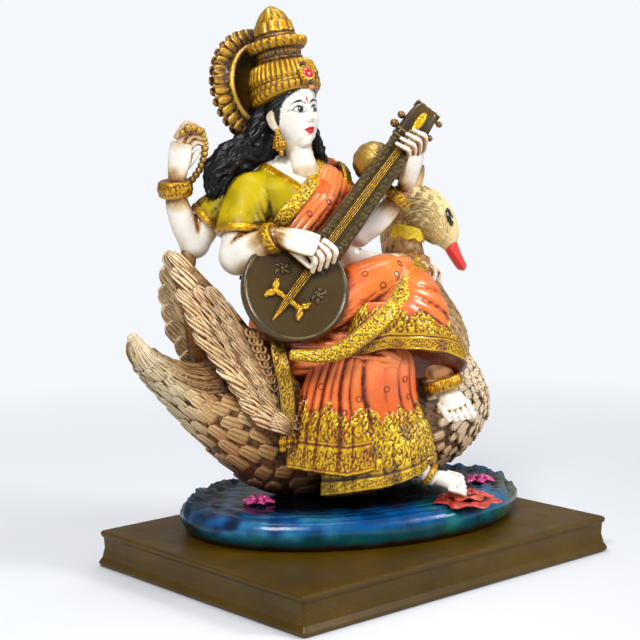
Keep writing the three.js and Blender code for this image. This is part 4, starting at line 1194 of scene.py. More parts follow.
def goldBand(centre, axis, radius, width, around=88, curls=4.4):
    # an embossed band: two raised lines with curls and knobs between them
    half = width / 2
    profile = [[radius * 0.8, -half], [radius * 0.95, -half], [radius * 0.99, -half * 0.8],
        [radius * 1.03, 0], [radius * 0.99, half * 0.8], [radius * 0.95, half], [radius * 0.8, half]]
    rows = max(14, int(width * 3))

    def relief(a, h, t):
        body = (abs(h) < half * 0.66)
        knobs = ridge(a / (2 * pi), 15, 0.8) * hill(h, 0, half * 0.35)
        return (0.7 * scroll(a * radius, h + half, curls) * body + 0.6 * knobs
            + 0.6 * hill(abs(h), half * 0.8, half * 0.13) * (0.6 + 0.4 * ridge(a / (2 * pi), 44)))

    form = turned(profile, around, rows, relief)
    placed(form, frameAt(centre, axis))
    return gilded(form, 4, 0.35)


def sleeveFolds(a, t):
    # fine creases drawn in towards the armpit, and a frill above the band
    around = np.stack([cos(a) * 14, sin(a) * 14, t * 30], -1)
    pulled = creases(a + 0.25 * t, [[150, 5, 1.3], [168, 4, 1.1], [186, 5, 1.3], [126, 5, 0.9], [205, 6, 1],
        [20, 6, 0.7], [70, 7, 0.5]])
    return (pulled * ramp(t, 0.15, 0.5) + 0.4 * ripple(around, 5.0) * ramp(t, 0.2, 0.5)
        + 0.35 * cos(34 * a) * ramp(t, 0.55, 0.8)) * fall(t, 0.86, 0.95)


def makeArms():
    bands = []
    sleeves = []
    for name, arm in arms.items():
        parts = [limb(stations) for stations in arm["limbs"]]
        at, r = arm["elbow"]
        parts.append(ball(at, [r, r, r]))
        skin = fuse(parts, 1.3, 4)
        hand = fuse(makeHand(**arm["hand"]), 0.54, 3)
        wrist = np.array(arm["bangle"][0])
        for form, rounds in ((skin, 8), (hand, 12)):
            painted(form, "skin")
            # painted shade: brown in the hollows between the fingers, beside the bangle and on the
            # undersides of arm and hand
            deepen(form, 1.2 * ramp(hollows(form, rounds, 0.35), 0.05, 0.7))
            d = np.linalg.norm(form.points - wrist, axis=1)
            deepen(form, 0.8 * fall(d + 1.5 * ripple(form.points, 5.0), 7, 16))
            under = -form.normals() @ unit(vec(0.1, -0.3, 1.0))
            deepen(form, (0.75 if form is hand else 0.25) * ramp(under, 0.0, 0.9))
        if name == "rightBack":
            deepen(hand, 0.4 * ramp(hand.z, 228, 238))
        keep("skin" + name[0].upper() + name[1:], [skin, hand], "skin")
        bands.append(goldBand(*arm["bangle"]))
        sleeve = limb(arm["sleeve"], 70, 36, blunt=(0.5, 0.15), relief=sleeveFolds)
        painted(sleeve, "olive")
        brush(sleeve, 0.45 * ramp(ripple(sleeve.points, 12.0, 3.0), 0, 1), rgb(112, 92, 6))
        brush(sleeve, 0.5 * ramp(sleeve.marks["t"], 0.6, 0.85), rgb(120, 84, 12))
        deepen(sleeve, 1.1 * hollows(sleeve, 8, 0.35).clip(0))
        sleeves.append(gatherShade(sleeve))
        end = np.array(arm["sleeve"][-1][:3])
        before = np.array(arm["sleeve"][-2][:3])
        axis = end - before
        bands.append(goldBand(end - unit(axis) * 1.2, axis, arm["sleeve"][-1][3] + 0.1, 4.6))
    keep("sleeves", sleeves, "blouse")
    keep("bangles", bands, "gold")


def makeFeet():
    def foot(ankle, instep, toes, across, wide, deep, spread, reach, plump=1.1):
        a, b, c = (np.array(v, float) for v in (ankle, instep, toes))
        ahead = unit(c - b)
        top = unit(np.cross(across, ahead))
        top = top * np.sign(top[2] - top[1] * 0.5)
        parts = [sweep([[*a, wide * 0.62, deep * 1.15], [*b, wide * 0.88, deep * 1.1],
            [*(b * 0.4 + c * 0.6), wide, deep * 0.85], [*c, wide * 0.96, deep * 0.5]],
            top, 40, 28, ends=4)]
        for i in range(5):
            at = c + across * (i - 2) * spread - ahead * abs(i - 1.3) * 0.6
            r = (1.25 if i else 1.5) * plump
            root, tip = at - ahead * 5.5, at + ahead * reach - top * 0.3
            middle = at + ahead * reach * 0.5 + top * 0.7
            parts.append(sweep([[*root, r, r * 0.8], [*middle, r * 1.02, r], [*tip, r * 0.85, r * 0.8]],
                top, 16, 12, ends=4, blunt=(0.5, 1.0)))
        return parts

    ankleRing = [[20.6, -59.4, 36.6], [0.75, -0.36, -0.55], 6.6, 3.4]
    right = fuse(foot([21, -59, 35], [29, -63.5, 33.5], [36, -68, 30.5], unit(vec(0.35, 0.62, 0.7)),
        5.6, 4.2, 2.8, 4.2, 1.25)
        + [limb([[16.5, -56.5, 40, 5], [19.5, -58.5, 36.5, 5], [23, -60.5, 34, 4.8]])], 0.45, 2)
    shin = sweep([[26, -38, 120, 17, 15], [31, -40, 106, 15, 14], [36.5, -43, 93, 10.5, 10],
        [40, -46, 82, 6, 6]], sides=40, rows=30)
    left = fuse(foot([38.5, -46, 84], [41, -51.5, 78.5], [42.5, -56, 72.5], unit(seenRight + 0.08 * up),
        8.8, 4.6, 3.9, 6.2, 1.6) + [shin], 0.7, 2)
    for name, form in (("skinRightFoot", right), ("skinLeftFoot", left)):
        painted(form, "skin")
        # painted shade in the hollows between the toes
        deepen(form, 1.5 * ramp(hollows(form, 7, 0.4), 0.06, 0.6))
        # the petticoat's brown edge hangs over the left ankle
        brush(form, ramp(form.z + ripple(form.points, 6.0), 90, 91),
            mixed(rgb(188, 126, 56), rgb(120, 72, 22), ramp(ripple(form.points, 5.0, 1.0), -0.4, 0.6)))
        # painted shade on the shin under the hem
        deepen(form, 0.7 * ramp(form.z + 3 * ripple(form.points, 6.0), 98, 114))
        keep(name, form, "skin")
    keep("anklets", [goldBand([38.5, -44.8, 88.4], [0.25, -0.15, -1], 11.6, 7.4), goldBand(*ankleRing)],
        "gold")


# the goddess: head

headFrame = frameOf(*(turnAbout(2, 15) @ turnAbout(1, -3.5) @ turnAbout(0, -12)).T, (-41, -3, 249.5))

face = {
    "form": [[0, -6, -19.5, 4.2, 4.6], [0, -5, -17, 7.4, 8.4], [0, -3.5, -12, 10.4, 11.6],
        [0, -2, -5, 12.8, 14], [0, -1, 3, 13.8, 15.4], [0, 0, 12, 13.4, 15.6], [0, 1, 19, 9, 11]],
    "eyeX": 5.5,
    "eyeZ": 0.6,
    "mouthZ": -11.2,
}


def sculptFace(p):
    # soft, even features in the head's own frame, each a small hill or hollow on the front
    x, y, z = p.T
    ax = abs(x)
    g = lambda cx, sx, cz, sz: exp(-(((ax - cx) / sx) ** 2) - (((z - cz) / sz) ** 2))
    m = lambda sx, cz, sz: exp(-((x / sx) ** 2) - (((z - cz) / sz) ** 2))
    ex, ez, mz = face["eyeX"], face["eyeZ"], face["mouthZ"]
    d = -1.5 * g(ex, 3.4, ez + 0.6, 2.7)
    d += 1.35 * exp(-((abs(ax - ex) / 3.1) ** 3) - (abs(z - ez) / 1.75) ** 3)
    d -= 0.3 * exp(-((abs(ax - ex) / 3.6) ** 4) - ((z - ez - 2.3 + 0.08 * (ax - ex) ** 2) / 0.35) ** 2)
    d += 0.5 * g(ex + 0.4, 4.0, 5.0, 1.7)
    nose = 4.3 * ramp(5.0 - z, 0, 10.2) * fall(-z, 5.6, 7.4)
    wide = 1.25 + 0.85 * ramp(-z, 0, 5)
    d += nose * exp(-((ax / wide) ** 2.2))
    d += 1.25 * g(2.15, 0.95, -5.9, 1.15)
    d -= 0.5 * g(1.2, 0.5, -7.3, 0.5)
    d += 1.35 * m(3.5, mz + 1.05, 1.05) - 0.3 * m(0.7, mz + 1.9, 0.7)
    d += 1.5 * m(2.8, mz - 1.15, 1.2)
    d -= 0.95 * m(3.6, mz + 0.05, 0.38)
    d -= 0.55 * g(4.1, 0.9, mz + 0.1, 0.9)
    d -= 0.6 * m(3.2, mz - 3.1, 1.0)
    d += 1.2 * m(3.4, -17.4, 2.3)
    d += 0.75 * g(7.6, 3.6, -5.2, 4.0)
    d -= 0.25 * m(0.7, mz + 3.1, 1.2)
    q = p.copy()
    q[:, 1] -= d * ramp(-y, 2.0, 9.0)
    waves = 1.1 + 0.4 * cos(3.1 * z + 14 * arctan2(ax, -y) + 1.5 * sin(0.6 * z))
    away = unit(p * [1, 1, 0.25] - [0, 1, 0])
    return q + away * (hairline(p) * waves)[:, None]


def hairline(p):
    # 1 where the hair lies: low over the temples, with a pointed lock before each ear
    x, y, z = p.T
    around = degrees(arctan2(abs(x), -y))
    edge = np.interp(z, [-30, -9, -7, -4.5, -1, 4, 8.5, 11.5, 13.5], [105, 105, 84, 74, 68, 60, 45, 22, 0])
    return ramp(around - edge, -1.0, 2.0)


def paintFace(form, p):
    # p holds the points in the head's own frame
    x, y, z = p.T
    ax = abs(x)
    fore = y < -3
    ex, ez, mz = face["eyeX"], face["eyeZ"], face["mouthZ"]
    u = ax - ex
    painted(form, "skin")
    # warm shade under the chin, round the eyes and beside the nose
    deepen(form, 0.4 * ramp(-z, 17.5, 21) + 0.1 * fore * hill(u, -2.6, 1.2) * hill(z, ez + 0.5, 1.8))
    blushMask = 0.1 * fore * exp(-((ax - 8) / 3) ** 2 - ((z + 5.5) / 3) ** 2)
    brush(form, blushMask, rgb(240, 150, 130))
    soft = 0.14
    edge = lambda value: ramp(value, -soft, soft)
    topLid = 2.0 * clip(1 - (abs(u - 0.1) / 3.7) ** 2.2, -1, 1) + 0.12 * u
    lowLid = -1.3 * clip(1 - (abs(u - 0.1) / 3.7) ** 2.0, -1, 1) + 0.12 * u
    h = z - ez
    inner = edge(topLid - h) * edge(h - lowLid) * (abs(u) < 3.7) * fore
    outer = edge(topLid + 0.85 - h) * edge(h - lowLid + 0.5) * (u > -4.2) * (u < 4.5) * fore
    wing = exp(-((h - 0.35 - 0.16 * (u - 3.2)) / (0.3 * clip(1.35 - (u - 3.0) / 3.2, 0.01, 1))) ** 2)
    wing = wing * (u > 2.8) * (u < 6.2) * fore
    lashes = np.maximum(outer, clip(1.3 * wing, 0, 1))
    brush(form, lashes, "black")
    brush(form, inner, rgb(250, 250, 248))
    iris = edge(1.85 - hypot(u + 0.05, (h - 0.35)))
    brush(form, iris * inner, rgb(10, 9, 10))
    # a painted highlight: a white glint on each iris
    brush(form, inner * edge(0.42 - hypot(u - 0.55, h - 0.95)) * 0.9, rgb(255, 255, 255))
    # painted shade: a brown line in the crease of the upper lid
    lidCreaseShade = hill(h - (2.5 - 0.075 * u ** 2), 0, 0.16) * (abs(u) < 3.6) * fore
    brush(form, 0.5 * lidCreaseShade, rgb(150, 90, 60))
    arc = h - (5.3 - 0.085 * (u - 0.6) ** 2)
    thick = 0.78 * clip(1.15 - abs(u + 0.6) / 5.8, 0.2, 1)
    brow = edge(thick - abs(arc)) * (u > -4.2) * (u < 5.2) * fore
    brush(form, brow, "black")
    bow = 1.85 * clip(1 - (ax / 4.1) ** 1.7, 0, 1) - 0.42 * hill(ax, 0, 0.75)
    low = -2.4 * clip(1 - (ax / 3.9) ** 2.0, 0, 1)
    hm = z - mz
    lips = edge(bow - hm) * edge(hm - low) * (ax < 4.2) * fore
    brush(form, lips, rgb(226, 16, 40))
    brush(form, lips * hill(hm, 0.03, 0.2), rgb(110, 6, 18))
    brush(form, ramp(hairline(p), 0.3, 0.7), "hair")
    bindi = edge(1 - abs(x) / 1.15 - abs(z - 6.3) / 3.1) * fore
    brush(form, bindi, rgb(214, 20, 44))
    brush(form, 0.7 * fore * hill(ax, 1.25, 0.45) * hill(z, -7.3, 0.35), rgb(140, 30, 30))
    return form


def makeHead():
    angles = allRound(176)
    angles = angles + 0.55 * cos(angles)  # more points towards the front
    form = sweep(face["form"], rows=104, ends=6, angles=angles,
        wave=lambda a, t: (abs(cos(a)) ** 2.35 + abs(sin(a)) ** 2.35) ** (-1 / 2.35))
    local = sculptFace(form.points)
    form.points = local.copy()
    paintFace(form, local)
    placed(form, headFrame)
    neck = sweep([[3, 3, -36, 11, 9.5], [1.5, 1, -26, 8.2, 8.2], [0.4, 0.4, -18, 8, 8],
        [0, 0, -10, 8.6, 8.8]], sides=44, rows=24,
        relief=lambda a, t: -0.22 * hill(t, 0.35, 0.02) - 0.22 * hill(t, 0.5, 0.02))
    painted(neck, "skin")
    # painted shade: one side of the neck is yellower, and it is darker under the chin and at its base
    brush(neck, 0.5 * ramp(cos(neck.marks["angle"]), -0.2, 0.9), rgb(226, 206, 160))
    deepen(neck, 0.3 * ramp(neck.z, -19, -13) + 0.3 * ramp(-neck.z, 29, 34))
    placed(neck, headFrame)
    ears = []
    for hand in (-1, 1):
        ear = sweep([[hand * 14.0, 0.6, 3.6, 2.6, 1.3], [hand * 15.4, 1.2, 0, 3.4, 2.1],
            [hand * 15.2, 0.2, -4.4, 2.8, 2.0], [hand * 14.2, -1.4, -8.2, 1.8, 1.8]],
            facing=side * hand, sides=26, rows=18, ends=3,
            relief=lambda a, t: -0.8 * hill(cos(a), 0, 0.4) * (sin(a) > 0) * hill(t, 0.4, 0.28))
        painted(ear, "skin")
        deepen(ear, 0.7 * ramp(hollows(ear, 6, 0.3), 0.1, 0.9) + 0.15)
        ears.append(placed(ear, headFrame))
    keep("face", form, "face")
    keep("neckAndEars", [neck] + ears, "skin")


def makeEarrings():
    drops = []
    for x, y in ((-15.2, -2.0), (12.8, 3.2)):
        for centre, radii in (([x, y, -8.8], [1.8, 1.8, 1.6]), ([x, y, -21.4], [1.4, 1.4, 2.2])):
            drops.append(painted(ball(centre, radii), "gold", gold=1, recess=0.15))
        bell = turned([[0.6, -9.6], [1.8, -10.2], [2.6, -12.5], [4, -16.2], [4.3, -17.6],
            [2.6, -19.2], [0.6, -20]],
            50, 26, lambda a, h, t: 0.6 * (ridge(a / (2 * pi), 10) - 0.5) * ramp(t, 0.2, 0.4)
            + 0.35 * cos(3.2 * h))
        bell.points += [x, y, 0]
        drops.append(gilded(bell))
    drops = [placed(d, headFrame) for d in drops]
    keep("earrings", drops, "gold")


def hairStrands(a, t):
    return (cos(9 * a + 2.6 * sin(17 * t + 2 * sin(a)) + 5 * t)
        + 0.5 * cos(21 * a - 2.2 * sin(26 * t) - 4 * t) + 0.4 * cos(31 * t + 3 * a))


def lock(stations, phase=0.0):
    form = sweep([[x, y, z, r, r * 0.8] for x, y, z, r in stations], sides=13, rows=42, ends=2,
        relief=lambda a, t: 0.3 * cos(3 * a + 9 * t + phase) + 0.6 * cos(34 * t + 2 * a + phase))
    return painted(form, "hair")


def makeHair():
    # waves run down the length of every lock
    masses = []
    cap = ball([0, 3.6, 5], [16, 15.6, 19.5], up, 96, 52)
    d = 0.7 * ripple(cap.points, 2.4) + 0.3 * cos(18 * cap.marks["angle"] + 6 * sin(8 * cap.marks["t"]))
    cap.points += cap.normals() * d[:, None]
    masses.append(placed(cap, headFrame))
    for stations, sides, rows in (
            ([[-46, 6, 252, 14, 12], [-53, 11, 238, 15.5, 12], [-57, 14, 226, 18, 9], [-54, 18, 206, 20, 7],
                [-48, 20, 182, 18, 7], [-44, 20, 158, 13, 6], [-42, 18, 138, 5, 3]], 76, 60),
            ([[-54, 4, 240, 11, 8], [-64, 6, 230, 11.5, 9], [-76, 6, 224, 10.5, 9],
                [-85, 6, 217.5, 8.5, 7.5], [-88.5, 5, 208, 5.4, 5], [-90, 5, 202, 2, 2]], 60, 50),
            ([[-32, 6, 244, 8, 8], [-24, 5, 229, 7.5, 7], [-20, 6, 215, 2, 2]], 36, 28)):
        masses.append(sweep(stations, sides=sides, rows=rows, relief=hairStrands))
    for m in masses:
        painted(m, "hair")
    locks = []
    for i in range(9):
        # wavy locks over the right shoulder
        s = i / 8
        wob = lambda k: 2.2 * sin(2.3 * i + 2.4 * k)
        start = vec(-55 - 4 * s, -2 + 8 * s, 247 - 8 * s)
        finish = vec(-86 + 6 * s, 1 + 10 * s, 203 + 8 * s)
        track = []
        for k in range(7):
            w = k / 6
            p = start * (1 - w) + finish * w + vec(0, 0, 5.5 * sin(pi * w))
            p = p + vec(wob(k) * 0.5, wob(k + 1) * 0.6, wob(k) * 0.9)
            track.append([*p, 3.1 * (1 - 0.5 * w ** 2)])
        locks.append(lock(track, 1.9 * i))
    for i in range(12):
        # and down the back
        s = i / 11
        x0, x1 = -62 + 22 * s, -66 + 40 * s
        track = []
        for k in range(9):
            w = k / 8
            x = x0 * (1 - w) + x1 * w + 2.0 * sin(2.1 * k + i)
            y = 17 + 10 * sin(pi * min(1, w * 0.8 + 0.15)) - 5 * abs(s - 0.5) * 2
            z = 240 - (88 + 14 * sin(2.6 * i)) * w
            track.append([x, y, z, 3.0 * (1 - 0.65 * w ** 2)])
        locks.append(lock(track, 1.3 * i))
    for i in range(4):
        s = i / 3
        track = [[-30 + 3 * s, -4 + 6 * s, 246 - 3 * s, 2.4], [-26 + 2 * s, -5 + 7 * s, 238, 2.8],
            [-24 + 3 * s, -3 + 6 * s, 231, 2.7], [-20 + 2 * s, -4 + 6 * s, 224, 2.2],
            [-21 + 2 * s, -2 + 4 * s, 218, 1.2]]
        locks.append(lock(track))
    keep("hair", masses + locks, "hair")


crown = {
    "lift": 4.5,
    "browRise": 0.2,
    "tiers": [[17, 4.8], [18.4, 5.2], [19.6, 6.6], [20.3, 8.4], [20.6, 10.4],
        [20.6, 12], [20.5, 14], [19.9, 18.5],
        [18.4, 23.2], [16.2, 26.6], [14, 28.8], [12.9, 30.6], [13.2, 33], [14.6, 35], [16.6, 38],
        [16.2, 40.2], [13.4, 42], [11.8, 43.6], [11.2, 46], [10.2, 50], [8.4, 54.4], [5.8, 58.4],
        [3.4, 60.9], [1.2, 62.2]],
}


def crownRelief(a, h, _):
    share = a / (2 * pi)
    wave = 0.5 * sin(7 * a + 1) + 0.4 * sin(13 * a)
    d = 0.5 * hill(h, 5.9, 0.45) + 0.6 * hill(h, 10.6 + 0.2 * wave, 0.4)
    round_ = lambda middle, half: np.sqrt(clip(1 - ((h - middle) / half) ** 2, 0, 1))
    d = d + 1.1 * round_(8.2, 1.8) * ridge(share, 32, 0.8)
    d = d + 0.9 * round_(12.6, 1.5) * ridge(share + 0.01, 36, 0.7)
    d = d + 0.7 * round_(15.8, 1.3) * ridge(share + 0.02, 40, 0.8)
    ribs = ridge(share + 0.0008 * wave, 38, 0.7) * ramp(h, 16.6, 17.6) * fall(h, 25.4, 28.4)
    d = d + 1.35 * ribs + 0.45 * ridge(share, 38, 1.0) * hill(h, 24.4, 1.0)
    d = d + 0.5 * hill(h, 29.6, 0.5) + 0.6 * round_(32.2, 1.4) * ridge(share, 34, 0.8)
    leaves = ridge(share, 22, 0.6)
    d = d + leaves * (1.2 * ramp(h, 34.2, 36) * fall(h, 39.6, 41.6) + 0.6 * hill(h, 39.4, 1.2))
    d = d + 0.35 * cos(2.6 * h + 40 * a) * ramp(h, 34, 36) * fall(h, 40, 41.6)
    d = d + 0.6 * hill(h, 43.2, 0.5)
    petals = ridge(share + 0.02, 10, 0.6)
    d = d + 1.3 * petals * ramp(h, 44, 45.4) * fall(h, 48.4 + 2.6 * petals, 49.4 + 2.6 * petals)
    inner = ridge(share + 0.02 + 1 / 20, 10, 0.6)
    d = d + 0.9 * inner * ramp(h, 49.6, 51) * fall(h, 56, 61) + 0.25 * ripple(np.stack(
        [8 * cos(a), 8 * sin(a), h], -1), 2.2) * ramp(h, 50, 54)
    return d


def makeCrown():
    body = turned(crown["tiers"], 190, 106, crownRelief)
    lowRim = clip(1 - (body.marks["height"] - 10) / 8, 0, 1)
    body.points[:, 2] -= body.y * crown["browRise"] * lowRim
    body.points += [0, 1, crown["lift"]]
    gilded(body, 5, 0.42, 0.36, 1.1)
    deepen(body, 0.3 * hill(body.marks["height"], 31.0, 2.4) + 0.3 * hill(body.marks["height"], 42.6, 1.5)
        - 0.35 * ramp(body.marks["height"], 50, 58))
    placed(body, headFrame)
    keep("crown", body, "gold")
    medallion = turned([[0.1, 1.6], [3.4, 1.5], [4.6, 1], [5.4, 0.2], [5.4, -1.5], [0.1, -1.5]], 60, 30,
        lambda a, h, t: 0.5 * ridge(a / (2 * pi), 12) * hill(t, 0.45, 0.14))
    place = frameAt([0, -20.2, 20.6], [0, -1, 0.22], up)
    placed(medallion, place)
    gilded(medallion, 3, 0.25, 0.2)
    keep("crownMedallion", placed(medallion, headFrame), "gold")
    jewels = []
    for centre, radii, colour in (([0, -21.4, 20.8], [3.3, 3.5, 1.7], "red"),
            ([0, -18.9, 27], [1.7, 1.9, 1.2], "black"),
            ([0, -22.4, 15.2], [1.7, 1.7, 1.2], "black"),
            ([0, -22.4, 12.2], [1.5, 1.9, 1.2], rgb(226, 120, 40))):
        jewels.append(placed(painted(ball(centre, radii, [0, -1, 0.2]), colour), headFrame))
    keep("crownJewels", jewels, "face")


def makeHalo():
    stand = frameOf(*turnAbout(0, -90).T, (-2, 17, 22))
    petals = 34
    dish = turned([[0.3, 4.6], [10, 4.3], [18, 3], [22.6, 0.6], [24.2, -2.2], [25.2, -2.9], [26.4, -2.4],
        [27.6, -0.6], [31, 1.6], [34.2, 3.2], [34.4, 4.6], [31, 6.6], [26, 7.4], [14, 8], [0.3, 8.2]],
        110, 38)
    painted(dish, "oldGold", gold=0.8)
    r = hypot(dish.x, dish.y)
    # painted light: the inside of the dish is painted a lighter brown where it lies in shadow
    inside = fall(r, 22.4, 23.6) * (dish.z < 6)
    brush(dish, inside, rgb(128, 98, 40), 0.1)
    brush(dish, ramp(r, 23.6, 24.2) * fall(r, 26.6, 27.4) * (dish.z < 2), rgb(222, 178, 60), 1.0)
    deepen(dish, 0.15 * inside * ramp(r, 12, 22) + 0.7 * ramp(r, 27.4, 29))
    back = dish.z > 6.5
    rays = ridge(arctan2(dish.y, dish.x) / (2 * pi), petals)
    dish.points[:, 2] += back * 0.7 * rays * ramp(r, 4, 10)
    deepen(dish, back * 0.6 * (1 - rays))
    parts = [placed(dish, stand)]
    for ring, (inner, outer, height, width, shift) in enumerate(
            ((26.8, 35.4, 0.4, 6.4, 0.0), (26.6, 35.6, 2.8, 6.6, 0.5), (27.0, 36.2, 5.4, 6.6, 0.0))):
        for i in range(petals):
            a = 2 * pi * (i + shift) / petals
            out = vec(cos(a), sin(a), 0)
            lean = 1.3 if ring == 0 else 0.4
            root = out * inner + up * (height - 0.6)
            tip = out * outer + up * (height + lean)
            middle = root * 0.45 + tip * 0.55 - up * 0.5 * (1 - ring)
            petal = sweep([[*root, width * 0.36, 1.2], [*middle, width * 0.5, 1.2],
                [*tip, width * 0.38, 0.8]], up, 14, 6, ends=2, blunt=(0.5, 1.2),
                relief=lambda an, t: 0.3 * cos(pi * 4 * cos(an) + i) + 0.2 * hill(cos(an), 0, 0.15))
            painted(petal, rgb(214, 164, 40) if ring == 0 else rgb(176, 126, 40), gold=0.85)
            deepen(petal, 0.1 + 0.8 * fall(petal.marks["t"], 0.1, 0.7)
                + 0.6 * ramp(0.5 - 0.5 * cos(pi * 4 * cos(petal.marks["angle"]) + i), 0.3, 1)
                + 0.6 * fall(abs(sin(petal.marks["angle"])), 0, 0.4))
            parts.append(placed(petal, stand))
    bridge = painted(sweep([[0, 6, 14, 11, 13], [0, 19, 20, 9, 11]], up, 40, 12),
        "oldGold", gold=0.8, recess=0.5)
    parts.append(bridge)
    keep("halo", [placed(p, headFrame) for p in parts], "gold")


# the goddess: dress

def creases(angle, table):
    # narrow valleys between rounded folds: [degrees, half width in degrees, depth]
    total = np.zeros_like(angle)
    for where, wide, depth in table:
        gap = abs((degrees(angle) - where + 180) % 360 - 180) / wide
        total = total - depth * exp(-gap)
    return total


def borderRelief(u, d, hem=12.0, top=27.0):
    # an embossed border seen along it: u runs along the hem, d is the height above it
    lines = 0.6 * (hill(d, 1.0, 0.6) + hill(d, hem, 0.55) + 0.8 * hill(d, hem + 2.1, 0.45))
    lower = 0.7 * scroll(u, d - 1.9, (hem - 2.4) / 2) * (d > 1.8) * (d < hem - 0.6)
    edge = top + 2.6 * sin(u / 3.7) + 1.6 * sin(u / 1.5 + 1.0) + 0.8 * sin(u / 0.8 + 2.0)
    bend = u + 1.4 * sin(d / 2.3) + 0.9 * sin(u / 5.1)
    upper = 0.8 * scroll(bend, d - hem - 2.8 + 0.8 * sin(u / 2.7), 5.2) * (d > hem + 2.6) * (d < edge)
    return lines + lower + upper, ramp(edge - d, -0.4, 0.4)


def goldTrim(form, relief, mask):
    # gold on the raised work, with the dark wash between it
    raised = ramp(relief, 0.12, 0.36)
    worn = ramp(ripple(form.points, 7.0, 3.0), -0.1, 0.6)
    brush(form, mask, mixed("gold", "goldLight", raised), 1.0)
    brush(form, 0.8 * mask * worn * (1 - raised), rgb(120, 66, 18), 0.3)
    deepen(form, mask * clip(1.0 - relief / 0.4, 0, 1) * (0.85 + 0.15 * worn))
    deepen(form, 0.5 * mask * ramp(ripple(form.points, 11.0, 6.0), 0.15, 0.8))


def clothForm(stations, folds, angles, rows, border=None, facing=front, drop=None, length=60.0, girth=36.0):
    marks = {}

    def relief(a, t):
        d = folds(a, t)
        if border:
            lift, mask = borderRelief(a * girth, (1 - t) * length, *border)
            marks["relief"], marks["mask"] = lift * mask, mask
            d = d + lift * mask + 0.5 * mask
        return d

    form = sweep(stations, facing=facing, rows=rows, relief=relief, drop=drop,
        blunt=(0.5, 0.1), ends=4, angles=angles)
    painted(form, "orange")
    # painted light: the crests of the folds are brushed lighter as painted highlight, and the valleys
    # between them darkened as painted shade
    low = hollows(form, 22, 0.9)
    brush(form, 0.7 * ramp(-low, 0.05, 0.5), "foldHighlight")
    deepen(form, ramp(low, 0.08, 0.7))
    deepen(form, 0.45 * ramp(ripple(form.points, 15.0, 2.0), 0.3, 0.9) * ramp(low, -0.2, 0.2))
    tint = ripple(form.points, 24.0, 6.0)
    brush(form, 0.55 * ramp(tint, -0.2, 0.8), "amber")
    if border:
        pad = lambda v: np.concatenate([v.ravel(), v[0, :1], v[-1, -1:]])
        goldTrim(form, pad(marks["relief"]), pad(marks["mask"]))
    return form


skirt = {
    "outer": [[-10, -38, 119, 21, 12], [-10.5, -38, 108, 34, 20], [-13, -36, 88, 39, 22],
        [-15, -36, 72, 43, 25], [-15.5, -36, 55, 46, 28]],
    "petticoat": [[-4, -39, 62, 34, 21], [-4, -41, 50, 35, 22], [-4, -42, 38, 36.5, 23]],
    # each fold: degrees at the waist, degrees at the hem, half width, depth
    "folds": [[10, 4, 4, 2.4], [27, 19, 4, 2.4], [38, 32, 3.4, 3], [46, 43, 2.4, 1.4], [53, 55, 3.6, 3],
        [61, 67, 2.4, 1.6], [70, 88, 4.5, 3.6], [96, 103, 8, 0.9], [114, 121, 6, 1.8],
        [134, 139, 5, 2.2], [156, 156, 6, 2.2], [180, 180, 6, 3], [207, 207, 7, 3],
        [234, 234, 6, 3.2], [262, 262, 6, 3], [290, 290, 7, 3.2], [318, 318, 6, 3], [342, 342, 5, 2.6]],
    "hem": [[-20, 16, 40, 64, 76, 88, 100, 112, 124, 136, 148, 160, 200, 250, 300, 340],
        [42, 43.5, 42.5, 40.5, 42.2, 43.6, 45.2, 47.8, 50, 54.5, 58, 58.5, 54, 48, 44, 42]],
    "underHem": [[-20, 16, 52, 76, 88, 100, 112, 124, 136, 160, 200, 250, 300, 340],
        [25.4, 27.6, 30, 31.1, 32.5, 34, 35.6, 38.2, 40.5, 42, 40, 34, 28, 25.4]],
}


def makeSkirt():
    folding = lambda a, t: sum(-deep * exp(-abs((degrees(a) - (top + (low - top) * t) + 180) % 360 - 180)
        / wide) for top, low, wide, deep in skirt["folds"])
    folds = lambda a, t: folding(a + 0.05 * sin(6 * t), t) * (0.3 + 0.7 * ramp(t, 0.0, 0.4))
    hemAt = lambda a, table: np.interp(degrees(a) % 360, table[0], table[1], period=360)
    outer = clothForm(skirt["outer"], folds, denser(204, -36, 162, 40),
        np.concatenate([linspace(0, 0.52, 26, endpoint=False), linspace(0.52, 1, 57)]),
        border=(10.5, 25.0), length=66, girth=38,
        drop=lambda a, t: t * t * (hemAt(a, skirt["hem"]) - 55))
    # painted shade: brown in the folds beside the lute, and short dark marks under the lap
    deepen(outer, 0.8 * fall(outer.marks["t"], 0.12, 0.5) * fall(degrees(outer.marks["angle"]), 30, 66)
        * ramp(ripple(outer.points, 7.0, 4.0), -0.4, 0.5))
    here = outer.marks["angle"], outer.marks["t"]
    for where, level, wide, high in ((80, 0.13, 7, 0.018), (88, 0.19, 6, 0.015),
            (72, 0.22, 4, 0.02), (118, 0.1, 6, 0.014)):
        gap = ((degrees(here[0]) - where) / wide) ** 2 + ((here[1] - level) / high) ** 2
        deepen(outer, exp(-gap))
    rings = smallRings(outer.grid,
        [[0.2, 101], [0.42, 99], [0.5, 72], [0.6, 48], [0.68, 84], [0.62, 60], [0.36, 122],
            [0.66, 110], [0.5, 128], [0.45, 30]], 1.7, 0.34, rgb(150, 58, 22))
    keep("skirt", [outer] + rings, "cloth")
    pleats = lambda a, t: 1.5 * (ridge(a / (2 * pi) + 0.01 * sin(9 * a), 24, 0.8) - 0.6) * ramp(t, 0.1, 0.6)
    under = clothForm(skirt["petticoat"], pleats, denser(190, -36, 162, 40), 34,
        border=(5.5, 40.0), length=26, girth=32, drop=lambda a, t: t * (hemAt(a, skirt["underHem"]) - 38))
    keep("petticoat", under, "gold")


